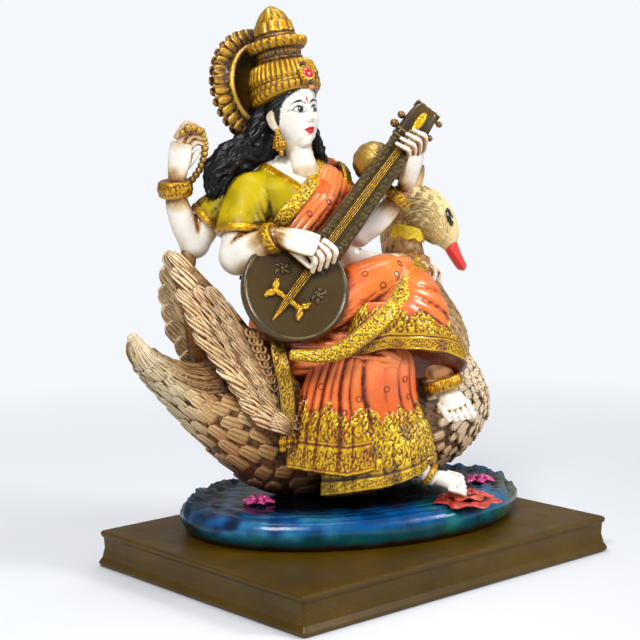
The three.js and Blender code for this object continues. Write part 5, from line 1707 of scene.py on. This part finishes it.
lap = {
    "left": [[-42, -6, 120, 26, 24], [-22, -22, 133, 26, 24], [-2, -32, 146, 21, 20], [8, -36, 151, 18, 17],
        [15.5, -39, 151, 10, 10]],
    "right": [[-54, -2, 112, 24, 22], [-38, -22, 112, 23, 20], [-16, -38, 110, 20, 17],
        [-3, -46, 107, 15, 14], [5, -50, 104, 8, 8]],
    "shin": [[12, -38, 162, 8, 7], [14, -41, 149, 19, 15], [14, -45, 135, 28, 17], [11, -47, 122, 36, 18],
        [11, -47, 106, 41, 18]],
}


def makeLap():
    fade = lambda t: 1 - 0.8 * ramp(t, 0.55, 0.95)
    left = clothForm(lap["left"], lambda a, t: creases(a + 0.35 * (1 - t), [
        [-54, 4, 2], [-42, 3, 1.8], [-31, 4, 2.6], [-19, 3, 1.6], [-8, 4, 2.2], [10, 6, 0.9], [44, 9, 0.5],
        [120, 8, 2], [160, 8, 2.2]]) * fade(t), denser(118, -76, 136, 34), 60, facing=up)
    right = clothForm(lap["right"], lambda a, t: creases(a - 0.2 * t, [
        [-60, 6, 2.4], [-38, 6, 2.4], [-16, 6, 2.6], [6, 6, 2.6], [28, 7, 2.2], [60, 8, 2], [120, 9, 2]])
        * fade(t), denser(66, -80, 120, 20), 40, facing=up)
    hip = clothForm([[-34, 4, 100, 33, 24], [-37, 2, 120, 32, 24], [-38, 1, 138, 28, 20.5],
        [-39, 0.5, 148, 23.5, 17.5]],
        lambda a, t: creases(a + 0.3 * t, [[200 + 18 * k, 6, 2.2] for k in range(9)]),
        denser(60, -36, 162, 60), 30)
    rings = smallRings(left.grid, [[0.6, 8], [0.8, 20], [0.72, -22], [0.5, 40], [0.86, 52]],
        1.7, 0.34, rgb(160, 62, 26))
    keep("lapCloth", [left, right, hip] + rings, "cloth")

    def drape(a, t):
        # shallow swags that fall from the knee to the outer side
        total = np.zeros_like(a)
        for level, tilt, deep in ((0.3, 0.1, 1.1), (0.42, 0.12, 1.5), (0.53, 0.14, 1.4), (0.64, 0.1, 0.8)):
            gap = abs(t - level - tilt * sin(a - 1.2)) / 0.028
            total = total - deep * exp(-gap) * ramp(degrees(a), 60, 110) * fall(degrees(a), 200, 240)
        return total + 0.8 * ramp(t, 0.7, 1.0) * sin(5 * a + 1)

    hang = lambda a: np.interp(degrees(a) % 360, [0, 30, 60, 90, 120, 150, 180, 270],
        [4, 5, 9, 7, 3, -4, -12, -6], period=360)
    shin = clothForm(lap["shin"], drape, denser(172, -30, 176, 32),
        np.concatenate([linspace(0, 0.58, 32, endpoint=False), linspace(0.58, 1, 50)]),
        border=(8.0, 21.0), length=58, girth=32,
        drop=lambda a, t: t * t * hang(a))
    # the brown inside of the hem
    brush(shin, (shin.marks["t"] > 0.9999), rgb(128, 80, 32), 0.0)
    keep("shinCloth", shin, "cloth")


def ribbonBand(stations, facing=front, curls=3.3, sides=44, rows=150, length=100.0):
    # a flat embossed border with a raised line at each edge
    marks = {}

    def relief(a, t):
        u = cos(a)
        facingOut = ramp(sin(a), 0.05, 0.35)
        lines = hill(abs(u), 0.88, 0.06)
        curl = scroll(t * length, (u + 1) * 5.0, curls) * (abs(u) < 0.78)
        marks["relief"] = (0.6 * lines + 0.75 * curl) * facingOut
        return marks["relief"]

    form = sweep(stations, facing, sides, rows, relief=relief,
        wave=lambda a, t: (abs(cos(a)) ** 4 + abs(sin(a)) ** 4) ** -0.25,
        angles=denser(sides, -8, 188, 7))
    painted(form, "gold", gold=1)
    v = marks["relief"]
    v = np.concatenate([v.ravel(), v[0, :1], v[-1, -1:]])
    brush(form, ramp(v, 0.12, 0.4), "goldLight")
    return deepen(form, 0.95 * clip(1.0 - v / 0.42, 0, 1))


def makeBorders():
    drape = ribbonBand([[26, -36, 159.5, 4.4, 2], [21.5, -44.5, 158, 5, 2.6], [9.6, -52.5, 150, 5, 3],
        [-1.9, -57.5, 138.7, 5, 3.4], [-14.2, -60.5, 130, 5, 4], [-27.1, -61.5, 122, 4.8, 4.4],
        [-38.8, -61, 115.4, 4.4, 4.4], [-50, -57, 112.5, 3.6, 4], [-64, -48, 113, 2.6, 3]],
        facing=unit(vec(-0.35, -0.9, 0.15)), length=120, sides=34, rows=170)
    shoulder = ribbonBand([[-21, 2, 224.5, 3, 1.4], [-24, -7, 219, 4, 1.6], [-33, -15.5, 211, 4, 1.6],
        [-44, -20.5, 202, 4.2, 1.8], [-54, -20.5, 192, 4.2, 1.8], [-61, -16, 180, 3.4, 1.6]],
        facing=unit(vec(0.0, -1, 0.45)), length=64, sides=28, rows=90)
    farEdge = ribbonBand([[-8, 12, 214, 3, 1.4], [-6, 0, 219, 3.4, 1.6], [-8, -10, 212, 3.4, 1.6],
        [-10, -15, 202, 3.2, 1.6]],
        facing=unit(vec(0.5, -0.6, 0.5)), length=34, sides=22, rows=40)
    endPiece = ribbonBand([[-64, -26, 125, 4.4, 1.8], [-66, -34, 112, 4.4, 1.8],
        [-64.5, -38.6, 96, 4.2, 1.8], [-63, -39, 80, 4.2, 1.8], [-62.6, -38, 72, 4, 2]],
        length=50, sides=30, rows=72, curls=2.6)
    brush(endPiece, ramp(abs(cos(endPiece.marks["angle"])), 0.9, 0.97), rgb(190, 84, 30), 0.0)
    deepen(endPiece, 0.15)
    # the end is gathered into a loop with two short tails
    knots = []
    loop = turned([[2.9 + 1.5 * cos(k), 1.5 * sin(k)] for k in linspace(0, 6.0, 14)], 40, 16)
    placed(loop, frameAt([-62.4, -39, 68.5], front, unit(vec(0.3, 0, 1.0))))
    knots.append(gilded(loop))
    for dx in (-4.0, 0.2, 4.2):
        tail = sweep([[-62.4 + dx * 0.5, -38.6, 67, 1.5, 1.3], [-62.4 + dx, -39.6, 62.5, 2.0, 1.5],
            [-62.2 + dx, -38.8, 57 - abs(dx) * 0.4, 1.5, 1.2]], sides=24, rows=20, ends=3,
            relief=lambda an, t: 0.25 * cos(5 * an) + 0.3 * cos(20 * t))
        knots.append(gilded(tail, 4, 0.3, 0.35))
    keep("sariBorders", [drape, shoulder, farEdge, endPiece] + knots, "gold")


torso = {
    "form": [[-34, 2, 104, 28, 20], [-37, 1, 130, 28, 20.5], [-40, 0, 152, 20, 15], [-41, -1, 172, 23, 17],
        [-41, -3, 190, 27, 19], [-40, -1, 205, 33, 16], [-40, 1, 215, 25, 12.5], [-39, 0, 222, 12, 10]],
}


def gatherShade(form, mask=1.0):
    # painted shade: dark crease lines of the blouse between the sleeve and the bust
    _, y, z = form.points.T
    seenAt = form.points @ seenRight
    here = exp(-((seenAt + 51) / 6.5) ** 2 - ((z - 187) / 12) ** 2) * (y < -2) * mask
    return deepen(form, here * ramp(sin(1.5 * seenAt + 0.5 * z + 2 * ripple(form.points, 9.0)), -0.4, 0.6))


def makeTorso():
    def relief(a, t):
        place = np.stack([cos(a) * 26, sin(a) * 18, t * 115], -1)
        bust = 0.0
        for where in (62, 118):
            gap = ((degrees(a) - where + 180) % 360 - 180) / 24
            bust = bust + 4.5 * exp(-gap ** 2) * hill(t, 0.7, 0.09)
        return bust + 0.35 * ripple(place, 9.0, 2.0) * ramp(t, 0.5, 0.6)

    form = sweep(torso["form"], angles=denser(110, -40, 190, 36), rows=96, relief=relief)
    p = form.points
    normal = form.normals()
    x, y, z = p.T
    painted(form, "skin")
    blouse = ramp(z, 166, 167)
    brush(form, blouse, "olive")
    brush(form, fall(z, 147, 148), "orange")
    # the open neck: a V at the front and a shallow round at the back
    ahead = y < 0
    vDepth = np.where(x < -41.5, 208 + (-41.5 - x) * 0.86, 208 + (x + 41.5) * 0.95)
    vDepth = np.where(ahead, vDepth, 217.0)
    open_ = ramp(z - vDepth, -0.3, 0.3)
    brush(form, open_, "skin")
    trim = fall(abs(z - vDepth + 3.0), 2.5, 2.9)
    wave = scroll(x * 1.25 + y, z - vDepth, 2.6) * 0.5 + 0.5 * hill(abs(z - vDepth + 3.0), 2.4, 0.4)
    form.points = p + normal * (trim * (0.5 + 0.6 * wave))[:, None]
    brush(form, trim, "gold", 1.0)
    deepen(form, trim * 0.85 * clip(1 - wave / 0.4, 0, 1))
    # the sari covers the blouse to the left of its border
    border = np.interp(z, [156, 180, 190, 206, 223], [-52, -47, -44, -31.7, -20])
    sari = ramp(p @ seenRight - border, 0.5, 1.5) * (y < 6) * (1 - open_) * (1 - trim) * blouse
    brush(form, sari, "orange")
    hem = fall(abs(z - 168.5), 1.8, 2.1)
    brush(form, hem, "gold", 1.0)
    deepen(form, hem * 0.5 * (1 - scroll(arctan2(y, x + 40) * 24, z, 3.0)))
    brush(form, 0.35 * ramp(ripple(p, 16.0, 3.0), 0, 1) * blouse * (1 - trim) * (1 - open_) * (1 - sari),
        rgb(112, 92, 6))
    deepen(form, (0.8 * hollows(form, 14, 0.6).clip(0)) * (1 - 0.7 * open_))
    gatherShade(form, blouse * (1 - trim))
    keep("torso", form, "blouse")


def makeShoulderSari():
    folds = [[-60, 8, 1.2], [26, 3, 0.9], [40, 2.5, 0.7], [52, 3, 1.1], [66, 2.5, 0.8],
        [78, 3, 1.1], [92, 2.5, 0.8], [104, 3, 1.1], [118, 2.5, 0.8], [132, 3, 1], [152, 4, 1]]
    form = clothForm([[-8, 12, 196, 11, 4], [-10, 6, 213, 13, 4.5], [-15, -8, 212, 15, 5],
        [-26, -18, 199, 18, 5], [-38, -21, 185, 19, 5], [-50, -19, 169, 15, 4], [-58, -12, 156, 9, 3]],
        lambda a, t: creases(a + 0.06 * sin(9 * t), folds) * (0.8 + 0.3 * cos(8 * t)),
        denser(120, -30, 200, 20), 60, facing=unit(vec(0.1, -1, 0.5)))
    rings = smallRings(form.grid, [[0.45, 60], [0.52, 92], [0.58, 120], [0.63, 74], [0.7, 100]],
        1.5, 0.4, rgb(170, 66, 34))
    keep("shoulderSari", [form] + rings, "cloth")


# the lute

luteAlong = unit(vec(0.669, 0.072, 0.741))
luteOut = unit(vec(-0.198, -0.942, 0.271))
luteFrame = frameOf(unit(np.cross(luteAlong, luteOut)), luteAlong, luteOut, (-57.5, -41, 150.8))


def carvedBlock(size, centre, bevel=0.4, taper=None, steps=2):
    # a block worked as by hand: added, its top drawn in, its edges rounded
    bpy.ops.object.select_all(action="DESELECT")
    bpy.ops.mesh.primitive_cube_add(size=1)
    block = bpy.context.object
    bpy.ops.object.mode_set(mode="EDIT")
    bpy.ops.mesh.select_all(action="SELECT")
    bpy.ops.transform.resize(value=size)
    bpy.ops.mesh.subdivide(number_cuts=3)
    bpy.ops.object.mode_set(mode="OBJECT")
    if taper:
        for v in block.data.vertices:
            v.co.x *= taper(v.co)
    round_ = block.modifiers.new("round", "BEVEL")
    round_.width = bevel
    round_.segments = steps
    round_.limit_method = "ANGLE"
    bpy.ops.object.modifier_apply(modifier="round")
    form = takeForm(block)
    form.points += centre
    return form


def makeLute():
    outline = [[0.3, -26], [8, -25.6], [16, -24], [24, -20], [29, -14], [31.2, -8],
        [31.8, -2.4], [31.5, -0.9],
        [30.9, -0.2], [30, 0.1], [29.2, -0.2], [28.6, -0.5], [20, -0.4], [10, -0.3], [0.3, -0.3]]
    bowl = painted(turned(outline, 110, 54), "wood")
    r = hypot(bowl.x, bowl.y)
    h = bowl.z
    brush(bowl, 0.75 * fall(h, -4.5, -1.5), rgb(70, 60, 26))
    deepen(bowl, 0.5 * hill(r, 28.7, 0.5) * (h > -1.5) + 0.35 * fall(h, -24, -8))
    worn = ramp(ripple(bowl.points, 7.0, 2.0), -0.5, 0.4)
    brush(bowl, 0.6 * worn * hill(r, 29.4, 0.35) * (h > -1.2), rgb(168, 150, 92), 0.3)
    neck = sweep([[0, 18, -4, 13, 4.6], [1, 28, -4, 11.2, 5], [1.5, 40, -4, 10.2, 5], [1.5, 80, -4, 9, 5],
        [1.5, 120, -4, 8, 5]], up, 56, 120,
        wave=lambda a, t: 1 / np.maximum(abs(cos(a)), abs(sin(a)) * 0.96 + 0.04) ** 0.62)
    painted(neck, "wood")
    along = neck.y
    top = neck.z > -1.2
    # rows of small rings along both edges of the fingerboard
    lane = abs(abs(neck.x - 1.2) - 6.0)
    cell = (along % 5.2) - 2.6
    eyelets = hill(hypot(lane, cell), 1.5, 0.42) * top
    brush(neck, 0.6 * eyelets, rgb(148, 124, 64), 0.6)
    neck.points[:, 2] += 0.35 * eyelets
    deepen(neck, 0.5 * top * (1 - eyelets) * ramp(abs(neck.x - 1.2), 3.0, 3.6))
    headPart = carvedBlock((17.5, 27, 11.5), [1.5, 127, -4], 4.2, steps=4,
        taper=lambda co: 1 - 0.22 * min(max((co.y - 5) / 8, 0), 1))
    headPart.points += headPart.normals() * (0.35 * ripple(headPart.points, 5.0, 2.0))[:, None]
    painted(headPart, rgb(84, 64, 26), 0.15)
    brush(headPart, 0.8 * fall(headPart.y, 131, 133), rgb(50, 38, 22), 0.1)
    grime = 0.3 * ramp(ripple(headPart.points, 6.0, 1.0), 0, 0.8)
    deepen(headPart, grime + 0.7 * hill(headPart.y, 132.5, 0.8))
    keep("lute", [placed(p, luteFrame) for p in (bowl, neck, headPart)], "lute", sharp=50)

    gold = []
    # the bridge: a bar across the face with a forked foot at each end
    gold.append(sweep([[-9.5, -9, 1, 1.8, 1.4], [-4, -9, 1.4, 1.5, 1.3], [4, -9, 1.4, 1.5, 1.3],
        [9.5, -9, 1, 1.8, 1.4]], up, 18, 24, relief=lambda a, t: 0.2 * cos(30 * t)))
    for hand in (-1, 1):
        for lift in (-1, 1):
            gold.append(sweep([[hand * 8.5, -9, 0.9, 1.9, 1.5], [hand * 10.5, -9 + lift * 3, 0.9, 2.0, 1.5],
                [hand * 11.8, -9 + lift * 6.2, 0.7, 1.1, 1.1]], up, 20, 16, ends=3,
                relief=lambda a, t: 0.25 * cos(3 * a + 9 * t)))
    for k in range(4):
        x = -1.8 + k * 1.2
        string = sweep([[0.1 + 0.1 * x, -24, 0.5, 0.26, 0.3], [x * 0.9, -9, 3.2, 0.28, 0.34],
            [x + 0.3, 40, 2.2, 0.28, 0.34], [x * 0.9 + 1.4, 121, 2.2, 0.26, 0.3]], up, 7, 40)
        gold.append(string)
    bed = sweep([[0.1, -24, 0.2, 0.6, 0.5], [0, -9, 1.9, 2.4, 1], [0.6, 40, 1.2, 2.6, 1],
        [1.4, 121, 1.2, 2.4, 1]], up, 12, 40)
    oval = ball([1.5, 128, 1.7], [1, 2.6, 7.6], front, 32, 20)
    gold.append(oval)
    for form in gold:
        gilded(form, 4, 0.3, 0.2, 0.9)
    painted(bed, rgb(74, 60, 20), 0.1)
    deepen(bed, 0.6)
    gold.append(bed)
    # carved sound roses on both sides of the strings: curled leaves round a bud
    for hand in (-1, 1):
        at = vec(hand * 13, 4.5, -0.2)
        for k in range(6):
            a = 2 * pi * k / 6 + hand
            out = vec(cos(a), sin(a), 0)
            curl = np.array([-out[1], out[0], 0]) * (1.4 + 0.5 * sin(2.6 * k))
            reach = 4.6 + 1.4 * sin(1.9 * k + hand)
            leafForm = sweep([[*(at + out * 0.8), 0.7, 0.6],
                [*(at + out * reach * 0.6 + up * 0.5), 1.3, 0.9],
                [*(at + out * reach + curl), 0.5, 0.4]], up, 12, 9, ends=2,
                relief=lambda an, t: 0.2 * cos(4 * an + 8 * t))
            painted(leafForm, rgb(120, 94, 34), 0.6)
            gold.append(deepen(leafForm, 0.3 + 0.6 * (1 - leafForm.marks["t"])))
        gold.append(painted(ball([*at[:2], 0.4], [1.2, 1.2, 0.9]), rgb(150, 118, 40), 0.8, 0.3))
    for hand, at, r in ((-1, 127, 2.3), (-1, 120, 2.6), (1, 137, 1.9), (1, 126, 2.0)):
        stalk = sweep([[1.5 + hand * 7, at, -3, 1.2, 1.2], [1.5 + hand * 11, at, -3, 1.0, 1.0]], up, 12, 6)
        peg = ball([1.5 + hand * (8.8 + r), at, -3], [r * 0.9, r, r * 1.1], side, 18, 11)
        for part in (stalk, peg):
            painted(part, rgb(156, 116, 40), 0.8)
            gold.append(deepen(part, 0.4))
    for at, wide in ((113.6, 9.4), (118, 10.2)):
        rail = carvedBlock((wide * 1.8, 1.6, 11.6), [1.5, at, -4], 0.6)
        gold.append(painted(rail, rgb(150, 118, 44), 0.7, 0.3))
    rim = sweep([[-6.5, 139.6, -4, 1.4, 5], [9.5, 139.6, -4, 1.4, 5]], up, 24, 16, ends=3,
        relief=lambda a, t: 0.25 * cos(24 * t))
    gold.append(painted(rim, rgb(150, 116, 40), 0.6, 0.25))
    keep("luteTrim", [placed(p, luteFrame) for p in gold], "gold")

    gourd = ball([-5, 99, -21], [12.6, 12.6, 13.6], up, 64, 36)
    a = gourd.marks["angle"]
    gourd.points += gourd.normals() * (0.6 * (ridge(a / (2 * pi), 12) - 0.5)
        * sin(pi * gourd.marks["t"]))[:, None]
    painted(gourd, rgb(186, 150, 56), 0.7)
    deepen(gourd, 0.8 * hollows(gourd, 6, 0.3).clip(0) + 0.15)
    keep("gourd", placed(gourd, luteFrame), "gold")


def makePrayerBeads():
    path = curveAt([[-96, 5, 241], [-93, 7, 232], [-95, 9, 220], [-101.5, 12, 210]], linspace(0, 1, 12))
    path2 = curveAt([[-98, 4, 241], [-103, 3, 243], [-107, 6, 240]], linspace(0, 1, 4))
    beads = []
    for p in np.vstack([path, path2]):
        bead = ball(p, [2.35, 2.35, 2.2], up, 14, 9)
        painted(bead, rgb(190, 146, 50), 0.85)
        deepen(bead, 0.65 * fall(sin(pi * bead.marks["t"]), 0.1, 0.7))
        beads.append(bead)
    keep("prayerBeads", beads, "gold")


def makeElbowRest():
    rest = painted(ball([-101, 17, 165], [5, 5, 8], up, 24, 14), rgb(214, 180, 130))
    deepen(rest, 0.4)
    keep("elbowRest", rest, "swan")


# making it all

makePond()
makeFlowers()
print("pond made")
makeSwanBody()
makeSwanTail()
makeWing(-1, "rightWing")
makeWing(1, "leftWing")
makeSwanNeck()
print("swan made")
makeTorso()
makeLap()
makeSkirt()
makeShoulderSari()
makeBorders()
print("dress made")
makeArms()
makeFeet()
makeHead()
makeEarrings()
makeHair()
makeCrown()
makeHalo()
print("goddess made")
makeLute()
makePrayerBeads()
makeElbowRest()
print("lute made")


def crowding(forms):
    # how crowded the air is a little above each point: high in the nooks between pieces
    cell = 2.0
    cloud = np.vstack([f.points for f in forms])
    low = cloud.min(0) - 14
    shape = ((cloud.max(0) + 14 - low) / cell).astype(int) + 1
    grid = np.zeros(shape)
    index = ((cloud - low) / cell).astype(int)
    grid[index[:, 0], index[:, 1], index[:, 2]] = 1
    for axis in range(3):
        grid = sum(np.roll(grid, s, axis) for s in (-2, -1, 0, 1, 2)) / 5
    result = []
    for f in forms:
        probe = f.points + f.normals() * 6.0
        i = clip(((probe - low) / cell).astype(int), 0, shape - 1)
        result.append(grid[i[:, 0], i[:, 1], i[:, 2]])
    return result


nookShade = {"skin": 0.5, "face": 0.0, "hair": 0.0, "gold": 0.7, "cloth": 0.9, "blouse": 0.9, "lute": 0.6,
    "swan": 0.7, "bill": 0.2, "pond": 0.9, "flower": 0.5}

# the paint is warmed as it darkens, in the wash and in the painted shade alike
washAndShadeTints = {"skin": (0.86, 0.5, 0.16), "swan": (0.78, 0.48, 0.2), "gold": (0.8, 0.6, 0.2),
    "cloth": (0.9, 0.55, 0.3)}

# painted shade: the paint is darkened in the nooks between pieces, where little light reaches
for entry, crowd in zip(kept, crowding([k[1] for k in kept])):
    name, form, finish = entry[:3]
    pale = ramp(form.marks["paint"].min(1), 0.62, 0.75)
    share = 0.15 if name in ("leftWing", "swanHead", "swanNeck", "swanCollar") else nookShade[finish]
    deepen(form, share * (1 - 0.5 * pale) * ramp(crowd, 0.10, 0.34))
    tint = np.array(washAndShadeTints.get(finish, (1, 1, 1)))
    form.marks["paint"] = form.marks["paint"] * tint ** form.marks["recess"][:, None]
print("wash laid in the nooks")


def toWorld(points):
    return (points @ turnAbout(2, casting["turn"]).T + casting["place"]) / 1000


def build(name, form, finish, sharp):
    mesh = bpy.data.meshes.new(name)
    mesh.from_pydata(toWorld(form.points).tolist(), [], form.faces())
    n = len(form.points)
    paint = mesh.attributes.new("paint", "FLOAT_COLOR", "POINT")
    paint.data.foreach_set("color", np.c_[form.marks["paint"], np.ones(n)].astype(np.float32).ravel())
    for mark in ("gold", "recess"):
        layer = mesh.attributes.new(mark, "FLOAT", "POINT")
        layer.data.foreach_set("value", clip(form.marks[mark], 0, 1).astype(np.float32))
    mesh.shade_smooth()
    if sharp:
        mesh.set_sharp_from_angle(angle=radians(sharp))
    mesh.materials.append(finishes[finish])
    piece = bpy.data.objects.new(name, mesh)
    bpy.context.scene.collection.objects.link(piece)
    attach(piece, "root")
    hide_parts("figure")
    return len(form.quads) * 2 + len(form.tris)


total = 0
for name, form, finish, sharp in kept:
    count = build(name, form, finish, sharp)
    total += count
    print("  ", name, count, "triangles")
print("all pieces:", total, "triangles")


# the plinth's material

def makePlinthMaterial():
    material, tree, shader = newMaterial("plinthPaint")
    coords = objectPlace(tree)
    cloudy = rangeNode(tree, noiseNode(tree, coords, 26, 4, 0.6), 0.3, 0.7)
    base = mixColour(tree, cloudy, (*rgb(64, 46, 2), 1), (*rgb(84, 62, 6), 1))
    dust = rangeNode(tree, noiseNode(tree, coords, 620, 2), 0.68, 0.74)
    join(tree, shader, {
        "Base Color": mixColour(tree, mathNode(tree, "MULTIPLY", dust, 0.35), base, (*rgb(150, 120, 60), 1)),
        "Roughness": rangeNode(tree, noiseNode(tree, coords, 60, 3), 0.3, 0.7, 0.3, 0.44),
        "Specular IOR Level": 0.2,
        "Normal": bumpNode(tree, noiseNode(tree, coords, 90, 4), 0.12, 0.0008),
    })
    return material


plinthMaterial = makePlinthMaterial()
for obj in bpy.data.objects:
    if obj.type == "MESH" and obj.name.startswith("plinth"):
        obj.data.materials.clear()
        obj.data.materials.append(plinthMaterial)
print("plinth painted")


# floor, light and camera

studio = {
    "backdrop": (0.91, 0.935, 0.97, 1),
    "paper": (0.7, 0.715, 0.745, 1),
    "shadedPaper": (0.58, 0.595, 0.62, 1),
    "sky": (0.93, 0.96, 1.0, 1),
    "skyPower": 0.34,
    "lights": {  # place, what it is turned to, size, power
        "keyLight": [(-1.15, -0.75, 1.25), (0, 0, 0.15), 0.45, 20],
        "fillLight": [(0.75, -1.25, 0.95), (0, 0, 0.15), 0.45, 15],
        "topLight": [(0.1, 0.1, 1.5), (0, 0, 0.1), 0.7, 10],
    },
}


def lightPath(tree):
    return addNode(tree, "LightPath").outputs["Is Camera Ray"]


def makeFloor():
    bpy.ops.object.select_all(action="DESELECT")
    bpy.ops.mesh.primitive_plane_add(size=8, location=(0, 0, -0.0005))
    floor = bpy.context.object
    floor.name = "floor"
    material, tree, shader = newMaterial("palePaper")
    coords = objectPlace(tree)
    across = addNode(tree, "VectorMath", {0: coords, 1: (0.75, -0.66, 0)}, operation="DOT_PRODUCT")
    shade = rangeNode(tree, across.outputs["Value"], 0.06, 0.26)
    tint = mixColour(tree, shade, studio["paper"], studio["shadedPaper"])
    join(tree, shader, {"Base Color": tint, "Roughness": 0.9})
    # far off the paper runs into the white of the backdrop
    far = addNode(tree, "VectorMath", {0: coords}, operation="LENGTH").outputs["Value"]
    fade = mathNode(tree, "MULTIPLY", rangeNode(tree, far, 0.22, 0.75), lightPath(tree), clamp=True)
    paper = addNode(tree, "Emission", {0: studio["backdrop"], 1: 1.0}).outputs[0]
    pick = addNode(tree, "MixShader", {0: fade, 1: shader.outputs[0], 2: paper}).outputs[0]
    join(tree, tree.nodes["Material Output"], {0: pick})
    floor.data.materials.append(material)


def lookFrom(obj, right, above, back, place):
    bpy.context.scene.collection.objects.link(obj)
    obj.matrix_world = Matrix([*np.c_[right, above, back, place].tolist(), [0, 0, 0, 1]])


def softLight(name, place, target, size, power):
    data = bpy.data.lights.new(name, "AREA")
    data.shape = "RECTANGLE"
    data.size = data.size_y = size
    data.energy = power
    z = unit(vec(*place) - vec(*target))
    x = unit(np.cross(up, z))
    lookFrom(bpy.data.objects.new(name, data), x, np.cross(z, x), z, place)


def makeSky():
    world = bpy.data.worlds.new("whiteRoom")
    world.use_nodes = True
    air = world.node_tree
    soft = join(air, air.nodes["Background"], {0: studio["sky"], 1: studio["skyPower"]}).outputs[0]
    # the paper backdrop itself looks white
    seen = addNode(air, "Background", {0: studio["backdrop"], 1: 1.0}).outputs[0]
    pick = addNode(air, "MixShader", {0: lightPath(air), 1: soft, 2: seen}).outputs[0]
    join(air, air.nodes["World Output"], {0: pick})
    return world


makeFloor()
for name, light in studio["lights"].items():
    softLight(name, *light)
scene = bpy.context.scene
scene.world = makeSky()
scene.view_settings.view_transform = "Standard"

viewpoint = {
    "place": (-0.63146, -0.67878, 0.25664),
    "right": (0.74703, -0.66474, -0.00815),
    "up": (0.08303, 0.08113, 0.99324),
    "ahead": (0.65959, 0.74265, -0.11580),
    "focal": 1531.0 / 640 * 36,  # the photo's focal length over its width, times the sensor's
    "sensor": 36,
}
lens = bpy.data.cameras.new("photoCamera")
lens.lens = viewpoint["focal"]
lens.sensor_width = viewpoint["sensor"]
lens.clip_start = 0.05
scene.camera = bpy.data.objects.new("photoCamera", lens)
lookFrom(scene.camera, viewpoint["right"], viewpoint["up"], -vec(*viewpoint["ahead"]), viewpoint["place"])
print("stage set")
